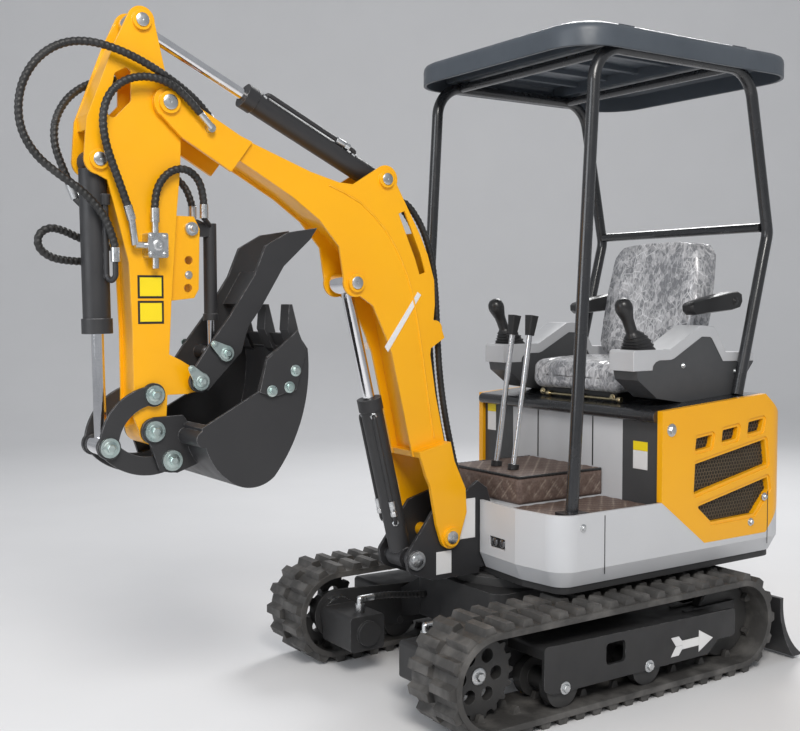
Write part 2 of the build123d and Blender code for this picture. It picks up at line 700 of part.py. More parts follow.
def bucket_barrel():
    """Bucket cylinder's tube with its steel pipe and the ports of its hoses."""
    x, y, z = ARM_HOSE_OUTER[-1]
    far_x, far_y, far_z = ARM_HOSE_FAR[-1]
    low_x, low_y, low_z = BUCKET_HOSE[-1]
    pipe_y = BUCKET_RAM.radius - FIT
    pipe_x = LINK_PIN[0] - PIPE_BEND
    crimp_end = z - CRIMP_LENGTH
    with BuildPart() as piece:
        add(barrel(BUCKET_RAM))
        bar((x, y, z), (x, y, crimp_end), CRIMP_RADIUS)
        with BuildLine() as path:
            FilletPolyline((x, y, crimp_end), (x, y, crimp_end - CRIMP_LENGTH),
                           ((x + pipe_x) / 2, (y + pipe_y) / 2, crimp_end - CRIMP_LENGTH - PORT_SIZE / 2),
                           (pipe_x, pipe_y, crimp_end - CRIMP_LENGTH), (pipe_x, pipe_y, z + 4 * PORT_SIZE),
                           radius=PIPE_BEND)
        with BuildSketch(Plane(origin=path.line @ 0, z_dir=path.line % 0)):
            Circle(PIPE_RADIUS)
        sweep(path=path.line)
        bar((pipe_x, pipe_y, z + 4 * PORT_SIZE), (pipe_x, pipe_y, z + 5 * PORT_SIZE), PIPE_RADIUS + PLAY)
        # Ports of the two hoses on the far side
        crimp_foot = (far_x - 16, far_y, far_z - CRIMP_LENGTH)
        bar((far_x, far_y, far_z), crimp_foot, CRIMP_RADIUS)
        bar(crimp_foot, (LINK_PIN[0] + 22, -26, crimp_foot[2] - PORT_SIZE), NUT_RADIUS)
        bar((low_x - 18, -PORT_SIZE, low_z), (low_x - 18, low_y - PORT_SIZE / 2, low_z), PORT_SIZE / 2)
        bar((low_x - 18, low_y, low_z), (low_x, low_y, low_z), NUT_RADIUS)
    return piece.part


def thumb_barrel():
    """Upright tube of the thumb's cylinder, hung from a lug that reaches forward to its pin."""
    head_x, head_z = THUMB_HEAD
    pin_x, pin_z = THUMB_FOOT
    hose_x, hose_y, hose_z = THUMB_HOSE[-1]
    low = head_z + THUMB_TUBE - THUMB_TUBE_LENGTH
    with BuildPart() as piece:
        with Locations((head_x, 0, low)):
            Cylinder(THUMB_TUBE, THUMB_TUBE_LENGTH, align=(Align.CENTER, Align.CENTER, Align.MIN))
            Cylinder(THUMB_TUBE + THUMB_GLAND, THUMB_TUBE, align=(Align.CENTER, Align.CENTER, Align.MIN))
        with BuildSketch(side(THUMB_LUG_HALF)):
            outline([(head_x, head_z - THUMB_TUBE), (head_x, head_z + THUMB_TUBE),
                     (pin_x, pin_z + THUMB_TUBE), (pin_x, pin_z - THUMB_TUBE)])
            with Locations(THUMB_FOOT):
                Circle(THUMB_TUBE)
                Circle(THUMB_PIN + FIT, mode=Mode.SUBTRACT)
        extrude(amount=2 * THUMB_LUG_HALF)
        with Locations((head_x, 0, low)):
            Cylinder(THUMB_ROD + FIT, THUMB_STROKE, mode=Mode.SUBTRACT,
                     align=(Align.CENTER, Align.CENTER, Align.MIN))
        # Hose fittings at the head, one on each side
        for turn in (1, -1):
            crimp_foot = (hose_x, turn * hose_y, hose_z - CRIMP_LENGTH)
            bar((hose_x, turn * hose_y, hose_z), crimp_foot, CRIMP_RADIUS)
            bar(crimp_foot, (head_x + PLAY, turn * THUMB_PIN, head_z + THUMB_PIN), PIPE_RADIUS)
    return piece.part


# House

def deck_top(x):
    """Height of the sloping top deck at x."""
    share = (PANEL_FRONT - x) / (PANEL_FRONT - PANEL_REAR)
    return PANEL_FRONT_Z + share * (PANEL_REAR_Z - PANEL_FRONT_Z)


def house_plan(inset):
    """Plan of the house shell in the current sketch, drawn in by inset."""
    front = HOUSE_FRONT - inset
    rear = HOUSE_REAR + inset
    half = HOUSE_HALF - inset
    outline([(front, half), (rear, half), (rear, -half), (front, -half), (front + FRONT_CREASE, -FRONT_CREASE_Y),
             (front, 0), (front + FRONT_CREASE, FRONT_CREASE_Y)])


def round_plan(sketch, inset):
    """Round the four corners of a house plan."""
    corners = sketch.vertices().filter_by(lambda vertex: abs(vertex.Y) > FRONT_CREASE_Y + FIT)
    fillet(corners.filter_by_position(Axis.X, 0, HOUSE_FRONT), FRONT_CORNER - inset)
    corners = sketch.vertices().filter_by(lambda vertex: abs(vertex.Y) > FRONT_CREASE_Y + FIT)
    fillet(corners.filter_by_position(Axis.X, HOUSE_REAR, HOUSE_REAR / 2), HOUSE_CORNER - inset)


def bevelled_block(inset, bottom, top):
    """House volume that widens over the lower bevel and then rises straight, drawn in by inset."""
    waist = bottom + SKIRT_BEVEL
    with BuildPart() as piece:
        with BuildSketch(Plane.XY.offset(bottom)) as foot:
            house_plan(inset + SKIRT_BEVEL_IN)
            round_plan(foot, inset + SKIRT_BEVEL_IN)
        with BuildSketch(Plane.XY.offset(waist)) as plan:
            house_plan(inset)
            round_plan(plan, inset)
        loft()
        extrude(plan.sketch, amount=top - waist)
    return piece.part


def shell_wall(bottom, top, thickness):
    """Upright wall that follows the house plan."""
    with BuildPart() as piece:
        with BuildSketch(Plane.XY.offset(bottom)) as plan:
            house_plan(0)
            round_plan(plan, 0)
        extrude(amount=top - bottom)
        with BuildSketch(Plane.XY.offset(bottom)) as hollow:
            house_plan(thickness)
            round_plan(hollow, thickness)
        extrude(amount=top - bottom, mode=Mode.SUBTRACT)
    return piece.part


COVER_EDGE = [(PANEL_FRONT, PANEL_FRONT_Z), (PANEL_REAR, PANEL_REAR_Z), (HOUSE_REAR - PLAY, HOOD_REAR_Z),
              (HOUSE_REAR - PLAY, PANEL_FOOT + PANEL_FOOT_RISE), (PANEL_FOOT_REAR, PANEL_FOOT),
              (PANEL_FOOT_FRONT, PANEL_FOOT), (PANEL_FRONT, SKIRT_TOP + SKIRT_LAP)]


def cover_space():
    """Everything inside the side outline of the engine covers, across the whole house."""
    with BuildPart() as piece:
        with BuildSketch(side(2 * HOUSE_HALF)):
            outline(COVER_EDGE)
        extrude(amount=4 * HOUSE_HALF)
    return piece.part


def house_frame():
    inset = SKIRT_BEVEL_IN + PANEL / 2
    with BuildPart() as piece:
        with BuildSketch(Plane.XY.offset(HOUSE_BOTTOM)) as plan:
            house_plan(inset)
            round_plan(plan, inset)
        extrude(amount=DECK_PLATE)
    return piece.part


def skirt():
    """Lower side and front panels in one band, bevelled along the lower edge."""
    top = SKIRT_TOP + SKIRT_LAP
    half = BRACKET_INNER + BRACKET_PLATE + PLAY
    lamp_y, lamp_z = LAMP_PLACE
    with BuildPart() as piece:
        add(bevelled_block(0, BRACKET_SEAT, top))
        add(bevelled_block(PANEL, BRACKET_SEAT, top), mode=Mode.SUBTRACT)
        add(cover_space(), mode=Mode.SUBTRACT)
        # Space for the boom bracket, and the lamp's window
        with Locations((HOUSE_FRONT, 0, HOUSE_BOTTOM)):
            Box(4 * (PANEL + FRONT_CREASE), 2 * half, SKIRT_TOP, align=(Align.CENTER, Align.CENTER, Align.MIN),
                mode=Mode.SUBTRACT)
        with BuildSketch(Plane.YZ.offset(HOUSE_FRONT + FRONT_CREASE)):
            with Locations((lamp_y, lamp_z)):
                RectangleRounded(*LAMP_SIZE, PLAY)
        extrude(amount=-2 * (PANEL + FRONT_CREASE), mode=Mode.SUBTRACT)
    return piece.part


def boom_bracket():
    """Two upright plates ahead of the house that carry the boom foot and the lift cylinder."""
    foot_x, foot_z = BOOM_FOOT
    pin_x, pin_z = LIFT_FOOT
    outer = BRACKET_INNER + BRACKET_PLATE
    nose = HOUSE_FRONT + PLAY
    web = HOUSE_FRONT + 2 * PLAY
    sole = HOUSE_BOTTOM + PLAY
    with BuildPart() as piece:
        with BuildSketch(side(outer)) as plate:
            outline([(60, BRACKET_SEAT), (60, 560), (PLATFORM_FRONT + 22, 575), (foot_x - 170, foot_z + 150),
                     (foot_x - 130, foot_z + 178), (foot_x - 66, foot_z + 138), (foot_x + 48, foot_z + 108),
                     (pin_x + 42, pin_z + 16), (pin_x + 30, pin_z - 40), (pin_x - 70, sole), (nose, sole),
                     (nose, BRACKET_SEAT)])
            fillet(plate.vertices().sort_by(Axis.X)[-2:], 26)
            with Locations(BOOM_FOOT):
                Circle(BOOM_PIN + FIT, mode=Mode.SUBTRACT)
        extrude(amount=BRACKET_PLATE)
        mirror(about=Plane.XZ)
        # Web between the plates behind the boom foot, a sole plate ahead of the house, and the cylinder's pin
        with BuildSketch(side(BRACKET_INNER)):
            outline([(web, BRACKET_SEAT), (web, foot_z + 60), (web + BRACKET_WEB, foot_z + 60),
                     (web + BRACKET_WEB, BRACKET_SEAT)])
            outline([(nose, sole), (nose, BRACKET_SEAT), (pin_x - 90, BRACKET_SEAT), (pin_x - 90, sole)])
            with Locations(LIFT_FOOT):
                Circle(LIFT_PIN)
        extrude(amount=2 * BRACKET_INNER)
        for y in (outer + PIN_HEAD, -outer):
            with BuildSketch(side(y)):
                with Locations(LIFT_FOOT):
                    Circle(BOOM_PIN_HEAD)
            extrude(amount=PIN_HEAD)
    return piece.part


SMALL_VENT = [(-389, 842), (-471, 851), (-461, 807), (-383, 798)]
SMALL_VENT_STEPS = ((0, 0), (-137, 20), (-276, 40))
MAIN_VENT = [(-384, 753), (-756, 814), (-771, 721), (-378, 647)]
LOWER_VENT = [(-396, 602), (-772, 673), (-780, 628), (-697, 545), (-470, 541)]


def vents():
    """Outlines of the vents in one side of the engine covers."""
    with BuildSketch() as openings:
        with Locations(*SMALL_VENT_STEPS):
            outline(SMALL_VENT)
        outline(MAIN_VENT)
        outline(LOWER_VENT)
        fillet(openings.vertices(), PLAY)
    return openings.sketch


def engine_cover():
    """Side and rear covers of the engine bay in one wall, with rimmed vents in both sides."""
    with BuildPart() as piece:
        add(shell_wall(PANEL_FOOT, PANEL_REAR_Z, COVER_THICKNESS))
        add(cover_space(), mode=Mode.INTERSECT)
        with BuildSketch(side(2 * HOUSE_HALF)):
            add(vents())
        extrude(amount=4 * HOUSE_HALF, mode=Mode.SUBTRACT)
        with BuildSketch(side(HOUSE_HALF)) as rims:
            add(vents())
            offset(amount=VENT_RIM, kind=Kind.INTERSECTION)
        extrude(amount=VENT_RIM_DEPTH, mode=Mode.SUBTRACT)
        extrude(rims.sketch.moved(Location((0, VENT_RIM_DEPTH - 2 * HOUSE_HALF, 0))), amount=VENT_RIM_DEPTH,
                mode=Mode.SUBTRACT)
    return piece.part


def half_of(part, keep_side):
    """The left or right half of a piece, cut on the middle plane."""
    with BuildPart() as piece:
        add(part)
        split(bisect_by=Plane.XZ, keep=keep_side)
    return piece.part


def vent_mesh():
    """Mesh plates behind the vents of both engine covers."""
    with BuildPart() as piece:
        with BuildSketch(side(HOUSE_HALF - COVER_THICKNESS)):
            add(vents())
            offset(amount=VENT_RIM, kind=Kind.INTERSECTION)
        extrude(amount=MESH_PLATE)
        mirror(about=Plane.XZ)
    return piece.part


def counterweight():
    """Cast block that follows the rear corners below the engine covers."""
    with BuildPart() as piece:
        add(bevelled_block(PANEL + FIT, BRACKET_SEAT, PANEL_FOOT - FIT))
        with Locations((PANEL_FOOT_REAR, 0, HOUSE_BOTTOM)):
            Box(4 * HOUSE_HALF, 4 * HOUSE_HALF, 2 * HOUSE_HALF,
                align=(Align.MIN, Align.CENTER, Align.MIN), mode=Mode.SUBTRACT)
    return piece.part


def top_deck():
    """Plate over the engine bay that falls away at the rear, with a rolled front edge."""
    half = HOUSE_HALF - COVER_THICKNESS - FIT
    rear = HOUSE_REAR + COVER_THICKNESS + FIT
    rear_z = HOOD_REAR_Z + (PANEL_REAR_Z - HOOD_REAR_Z) * (rear - HOUSE_REAR) / (PANEL_REAR - HOUSE_REAR)
    with BuildPart() as piece:
        with BuildSketch(side(half)):
            outline([(PANEL_FRONT, PANEL_FRONT_Z - DECK_PLATE), (PANEL_FRONT, PANEL_FRONT_Z),
                     (PANEL_REAR, PANEL_REAR_Z), (rear, rear_z), (rear, rear_z - DECK_PLATE),
                     (PANEL_REAR, PANEL_REAR_Z - DECK_PLATE)])
        extrude(amount=2 * half)
        with BuildSketch(Plane.XY.offset(HOUSE_BOTTOM)) as plan:
            house_plan(COVER_THICKNESS + FIT)
            round_plan(plan, COVER_THICKNESS + FIT)
        extrude(amount=2 * HOUSE_HALF, mode=Mode.INTERSECT)
        with BuildSketch(side(half)):
            with Locations((PANEL_FRONT, PANEL_FRONT_Z - HOOP_TUBE)):
                Circle(HOOP_TUBE)
        extrude(amount=2 * half)
    return piece.part


def seat_box():
    """Front panels under the seat: a pale middle panel between two dark corners."""
    x = PANEL_FRONT - SEAT_BOX_SET
    height = PANEL_FRONT_Z - 2 * HOOP_TUBE - FIT - FLOOR_TOP
    half = HOUSE_HALF - COVER_THICKNESS - FIT
    with BuildPart() as middle:
        with Locations((x, 0, FLOOR_TOP)):
            Box(PANEL, 2 * SEAT_BOX_HALF, height, align=(Align.MAX, Align.CENTER, Align.MIN))
    with BuildPart() as corners:
        for y in (half, -SEAT_BOX_HALF):
            with Locations((x, y, FLOOR_TOP)):
                Box(PANEL, half - SEAT_BOX_HALF, height, align=(Align.MAX, Align.MAX, Align.MIN))
    return middle.part, corners.part


def engine():
    with BuildPart() as piece:
        with Locations((ENGINE_X, 0, BRACKET_SEAT)):
            Box(*ENGINE_SIZE, align=(Align.CENTER, Align.CENTER, Align.MIN))
        fillet(piece.edges().filter_by(Axis.Z), ENGINE_ROUND)
    return piece.part


def floor_deck():
    """Footwell plate with the raised platform, carried by two cross walls."""
    rear = PANEL_FRONT - SEAT_BOX_SET - PANEL
    bracket_half = BRACKET_INNER + BRACKET_PLATE + PLAY
    wall_y = bracket_half + FLOOR_WALL_SET
    with BuildPart() as piece:
        with BuildSketch(Plane.XY.offset(FLOOR_TOP - FLOOR_PLATE)) as plan:
            house_plan(PANEL + FIT)
            round_plan(plan, PANEL + FIT)
            with Locations((rear, 0)):
                Rectangle(2 * HOUSE_HALF, 2 * HOUSE_HALF, align=(Align.MAX, Align.CENTER), mode=Mode.SUBTRACT)
        extrude(amount=FLOOR_PLATE)
        with Locations((PLATFORM_FRONT, 0, FLOOR_TOP)):
            Box(PLATFORM_FRONT - rear - PANEL, 2 * PLATFORM_HALF, PLATFORM_TOP - FLOOR_TOP,
                align=(Align.MAX, Align.CENTER, Align.MIN))
        for y in (wall_y, -wall_y - PANEL):
            with Locations((0, y, BRACKET_SEAT)):
                Box(FLOOR_WALL_LENGTH, PANEL, FLOOR_TOP - FLOOR_PLATE - BRACKET_SEAT,
                    align=(Align.CENTER, Align.MIN, Align.MIN))
        # Slot for the bracket plates that rise through the front edge
        with Locations((HOUSE_FRONT, 0, HOUSE_BOTTOM)):
            Box(2 * (HOUSE_FRONT - PLATFORM_FRONT) - 4 * PLAY, 2 * bracket_half, HOUSE_BOTTOM,
                align=(Align.CENTER, Align.CENTER, Align.MIN), mode=Mode.SUBTRACT)
    return piece.part


def mats():
    """Quilted mats: one on the platform, one in each footwell."""
    inset = HOUSE_HALF - MAT_OUTER
    rear = PANEL_FRONT - SEAT_BOX_SET
    with BuildPart() as platform:
        with Locations((PLATFORM_FRONT, 0, PLATFORM_TOP)):
            Box(PLATFORM_FRONT - rear, 2 * PLATFORM_HALF, MAT, align=(Align.MAX, Align.CENTER, Align.MIN))
    with BuildPart() as wells:
        with BuildSketch(Plane.XY.offset(FLOOR_TOP)) as plan:
            house_plan(inset)
            round_plan(plan, inset)
            with Locations((rear, 0)):
                Rectangle(2 * HOUSE_HALF, 2 * HOUSE_HALF, align=(Align.MAX, Align.CENTER), mode=Mode.SUBTRACT)
            Rectangle(2 * HOUSE_HALF, 2 * (PLATFORM_HALF + FIT), mode=Mode.SUBTRACT)
        extrude(amount=MAT)
    return platform.part, wells.part


HOOP_PATH = [(131, FLOOR_TOP + MAT), (40, ROOF_RAIL_Z), (-720, ROOF_RAIL_Z), (-838, 1568), (-680, deck_top(-680))]


def hoop():
    """Bent tube from the footwell over the roof line and down to the deck."""
    foot_x, foot_z = HOOP_PATH[0]
    with BuildPart() as piece:
        with BuildLine(side(HOOP_Y)) as path:
            FilletPolyline(*HOOP_PATH, radius=HOOP_BENDS)
        with BuildSketch(Plane(origin=path.line @ 0, z_dir=path.line % 0)):
            Circle(HOOP_TUBE)
        sweep(path=path.line)
        # Flatten the ends on the floor and the deck
        with Locations((foot_x, HOOP_Y, foot_z)):
            Box(6 * HOOP_TUBE, 6 * HOOP_TUBE, 4 * HOOP_TUBE, align=(Align.CENTER, Align.CENTER, Align.MAX),
                mode=Mode.SUBTRACT)
        with BuildSketch(side(HOOP_Y + 3 * HOOP_TUBE)):
            outline([(PANEL_REAR, PANEL_REAR_Z), (PANEL_FRONT, PANEL_FRONT_Z),
                     (PANEL_FRONT, PANEL_FRONT_Z - 4 * HOOP_TUBE), (PANEL_REAR, PANEL_REAR_Z - 4 * HOOP_TUBE)])
        extrude(amount=6 * HOOP_TUBE, mode=Mode.SUBTRACT)
        with Locations((foot_x, HOOP_Y, foot_z)):
            Box(*HOOP_FOOT_PLATE, align=(Align.CENTER, Align.CENTER, Align.MIN))
    return piece.part


def crossbars():
    """Tubes between the two hoops."""
    half = HOOP_Y - HOOP_TUBE - FIT
    with BuildPart() as piece:
        with BuildSketch(side(half)):
            with Locations(*[(x, ROOF_RAIL_Z) for x in CROSSBAR_PLACES], CROSSBAR_BACK):
                Circle(CROSSBAR_TUBE)
        extrude(amount=2 * half)
    return piece.part


def roof_plan(inset, corner):
    """Rounded plan of the roof in the current sketch, drawn in by inset."""
    with Locations(((ROOF_FRONT + ROOF_REAR) / 2, 0)):
        RectangleRounded(ROOF_FRONT - ROOF_REAR - 2 * inset, 2 * (ROOF_HALF - inset), corner)


def roof():
    """Moulded roof: an inverted tray with a sloping crown, a raised pad and two cross ribs below."""
    spring = ROOF_EDGE + ROOF_FASCIA
    rest = ROOF_RAIL_Z + HOOP_TUBE + FIT
    with BuildPart() as piece:
        with BuildSketch(Plane.XY.offset(ROOF_EDGE)):
            roof_plan(0, ROOF_CORNER)
        extrude(amount=ROOF_FASCIA)
        with BuildSketch(Plane.XY.offset(spring)):
            roof_plan(0, ROOF_CORNER)
        with BuildSketch(Plane.XY.offset(spring + ROOF_CROWN)):
            roof_plan(ROOF_SLOPE, ROOF_CORNER / 2)
        loft()
        with BuildSketch(Plane.XY.offset(spring)):
            roof_plan(ROOF_PAD_SET, ROOF_CORNER / 2)
        extrude(amount=ROOF_CROWN + ROOF_PAD)
        with BuildSketch(Plane.XY.offset(ROOF_EDGE)):
            roof_plan(ROOF_SKIN, ROOF_CORNER - ROOF_SKIN)
        extrude(amount=ROOF_FASCIA - ROOF_SKIN, mode=Mode.SUBTRACT)
        with Locations(*[(x, 0, rest) for x in CROSSBAR_PLACES]):
            Box(ROOF_RIB, 2 * ROOF_HALF - ROOF_SKIN, spring - rest, align=(Align.CENTER, Align.CENTER, Align.MIN))
    return piece.part


def seat_frame():
    """Base under the cushion and the upright behind the back."""
    front = SEAT_BASE_FRONT
    rear = SEAT_BASE_REAR
    spine = CUSHION_BOTTOM + SEAT_SPINE
    with BuildPart() as piece:
        with BuildSketch(side(SEAT_BASE_HALF)):
            outline([(front, deck_top(front)), (front, CUSHION_BOTTOM - FIT), (rear + 12, CUSHION_BOTTOM - FIT),
                     (rear, CUSHION_BOTTOM + 130), (rear - 60, spine), (rear - 82, spine - 5),
                     (rear - 28, CUSHION_BOTTOM + 120), (rear - 28, deck_top(rear - 28))])
        extrude(amount=2 * SEAT_BASE_HALF)
    return piece.part


def seat_pads():
    """Cushion and back as plain closed solids."""
    with BuildPart() as cushion:
        with BuildSketch(side(CUSHION_HALF)) as profile:
            outline([(-262, CUSHION_BOTTOM + 20), (-290, CUSHION_TOP), (-650, CUSHION_TOP - 8),
                     (-680, CUSHION_TOP - 20), (-680, CUSHION_BOTTOM), (-300, CUSHION_BOTTOM)])
            fillet(profile.vertices().sort_by(Axis.X)[-2:], CUSHION_ROUND)
        extrude(amount=2 * CUSHION_HALF)
    with BuildPart() as back:
        with BuildSketch(side(SEAT_BACK_HALF)) as profile:
            outline([(-648, CUSHION_TOP + 8), (-668, CUSHION_TOP + 130), (-716, SEAT_BACK_TOP - 20),
                     (-800, SEAT_BACK_TOP), (-816, SEAT_BACK_TOP - 30), (-763, CUSHION_BOTTOM + SEAT_SPINE + FIT),
                     (-703, CUSHION_TOP + 15), (-703, CUSHION_TOP + 8)])
            fillet(profile.vertices().sort_by(Axis.Y)[-2:], SEAT_BACK_ROUND)
        extrude(amount=2 * SEAT_BACK_HALF)
        fillet(back.faces().filter_by(Axis.Y).edges().group_by(Axis.Z)[-1], SEAT_BACK_ROUND)
    return cushion.part, back.part


def armrest():
    pivot_x, pivot_z = ARMREST_PIVOT
    reach = ARMREST_OUTER - ARMREST_BAR - SEAT_BACK_HALF - FIT
    with BuildPart() as piece:
        with BuildSketch(side(ARMREST_OUTER)) as profile:
            outline([(-560, pivot_z - 8), (-552, pivot_z + 22), (-800, pivot_z + 26), (-839, pivot_z + 6),
                     (-800, pivot_z - 20), (-610, pivot_z - 20)])
            fillet(profile.vertices(), 9)
        extrude(amount=ARMREST_WIDTH)
        with BuildSketch(side(ARMREST_OUTER - ARMREST_BAR)):
            with Locations(ARMREST_PIVOT):
                Circle(ARMREST_BAR)
        extrude(amount=reach)
    return piece.part


def console():
    """Control console with its stepped top, standing on the deck."""
    with BuildPart() as piece:
        with BuildSketch(side(CONSOLE_OUTER)) as profile:
            outline([(-173, CONSOLE_TOP), (-354, CONSOLE_TOP), (-507, CONSOLE_TOP + 80), (-580, CONSOLE_TOP + 75),
                     (-645, CONSOLE_TOP - 18), (-800, CONSOLE_TOP - 22), (-801, CONSOLE_TOP - 56),
                     (-700, deck_top(-700)), (-417, deck_top(-417)), (-289, 979), (-197, 1046)])
            fillet(profile.vertices().sort_by(Axis.Y)[-6:], CUSHION_ROUND)
        extrude(amount=CONSOLE_OUTER - CONSOLE_INNER)
    return piece.part


def joystick():
    """Bellows boot, stem and pear-shaped knob, leaning forward."""
    lean = Vector(*STICK_LEAN).normalized()
    base = Vector(STICK_X, (CONSOLE_INNER + CONSOLE_OUTER) / 2, CONSOLE_TOP - STICK_SINK)
    with BuildPart() as piece:
        with BuildSketch(Plane(origin=base, x_dir=(0, 1, 0), z_dir=Vector(0, 1, 0).cross(lean))):
            with BuildLine():
                boot = Polyline((0, 0), (48, 0), (38, 66), (41, 70), (32, 88), (34, 92), (26, 108), (28, 112), (18, 126))
                neck = ThreePointArc(boot @ 1, (16, 154), (23, 190))
                knob = ThreePointArc(neck @ 1, (20, 222), (6, 234))
                cap = Line(knob @ 1, (0, 234))
                Line(cap @ 1, boot @ 0)
            make_face()
        revolve(axis=Axis(base, lean))
        split(bisect_by=Plane.XY.offset(CONSOLE_TOP), keep=Keep.TOP)
    return piece.part


def travel_lever(foot_x, y):
    """Leaning rod with a flared grip and a boot at its foot."""
    floor = PLATFORM_TOP + MAT
    axis = Plane(origin=(foot_x, y, floor - MAT), x_dir=(0, 1, 0), z_dir=LEVER_LEAN)
    with BuildPart() as piece:
        for radius, height in (LEVER_BOOT, (LEVER_ROD, LEVER_LENGTH)):
            with BuildSketch(axis):
                Circle(radius)
            extrude(amount=height)
        with BuildSketch(axis.offset(GRIP_FROM)):
            RectangleRounded(*GRIP_FOOT)
        with BuildSketch(axis.offset(GRIP_TO)):
            RectangleRounded(*GRIP_HEAD)
        loft()
        split(bisect_by=Plane.XY.offset(floor), keep=Keep.TOP)
    return piece.part


# Digging gear

def pin_heads(centre, inner, radius):
    """Pair of round pin heads outside two plates."""
    for y in (inner + PIN_HEAD, -inner):
        with BuildSketch(side(y)) as head:
            with Locations(centre):
                Circle(radius)
        extrude(head.sketch, amount=PIN_HEAD)


def plates(points, rounds, inner, thickness, holes=()):
    """Pair of side plates with rounded ends about the given pins."""
    for y in (inner + thickness, -inner):
        with BuildSketch(side(y)) as plate:
            outline(points)
            for centre, radius in rounds:
                with Locations(centre):
                    Circle(radius)
            for centre, radius in holes:
                with Locations(centre):
                    Circle(radius, mode=Mode.SUBTRACT)
        extrude(plate.sketch, amount=thickness)


def curved_plates(start, middle, end, ends, inner, thickness, holes):
    """Pair of crescent links along an arc, with rounded ends."""
    for y in (inner + thickness, -inner):
        with BuildSketch(side(y)) as plate:
            with BuildLine():
                ThreePointArc(start, middle, end)
            trace(line_width=LINK_WIDTH)
            for centre, radius in ends:
                with Locations(centre):
                    Circle(radius)
            for centre, radius in holes:
                with Locations(centre):
                    Circle(radius, mode=Mode.SUBTRACT)
        extrude(plate.sketch, amount=thickness)


def across(centre, radius, half, mode=Mode.ADD):
    """Round bar across the machine."""
    with BuildSketch(side(half)) as section:
        with Locations(centre):
            Circle(radius)
    extrude(section.sketch, amount=2 * half, mode=mode)


BOOM_BOTTOM = 800
BOOM_SIDE = [(370, BOOM_BOTTOM), (417, 1007), (438, 1140), (419, 1310), (422, 1390), (448, 1473), (480, 1540),
             (572, 1700), (640, 1752), (739, 1692), (792, 1695), (895, 1722), (1139, 1811), (1260, 1870),
             (1270, 1810), (1080, 1709), (958, 1641), (863, 1574), (792, 1493), (772, 1366), (716, 1338),
             (665, 1305), (618, 1209), (592, 1147), (510, BOOM_BOTTOM)]
BOOM_BOX = [(382, BOOM_BOTTOM), (430, 1007), (452, 1140), (432, 1310), (436, 1390), (462, 1470), (494, 1530),
            (610, 1640), (739, 1682), (792, 1685), (895, 1711), (1139, 1800), (1260, 1858), (1266, 1822),
            (1086, 1724), (964, 1656), (870, 1590), (772, 1530), (626, 1385), (576, 1240), (556, 1140),
            (484, BOOM_BOTTOM)]
BOOM_SLOT = [(541, 1616), (565, 1606), (500, 1460), (482, 1408), (458, 1416), (476, 1472)]
GUIDE_EAR = [(452, 1152), (379, 1196), (398, 1246), (440, 1262)]
GUIDE_EAR_ROUND = ((419, 1226), 30)
BOOM_PORT = (1240, 1824)
TOP_PORT = (1168, 28, 1812)


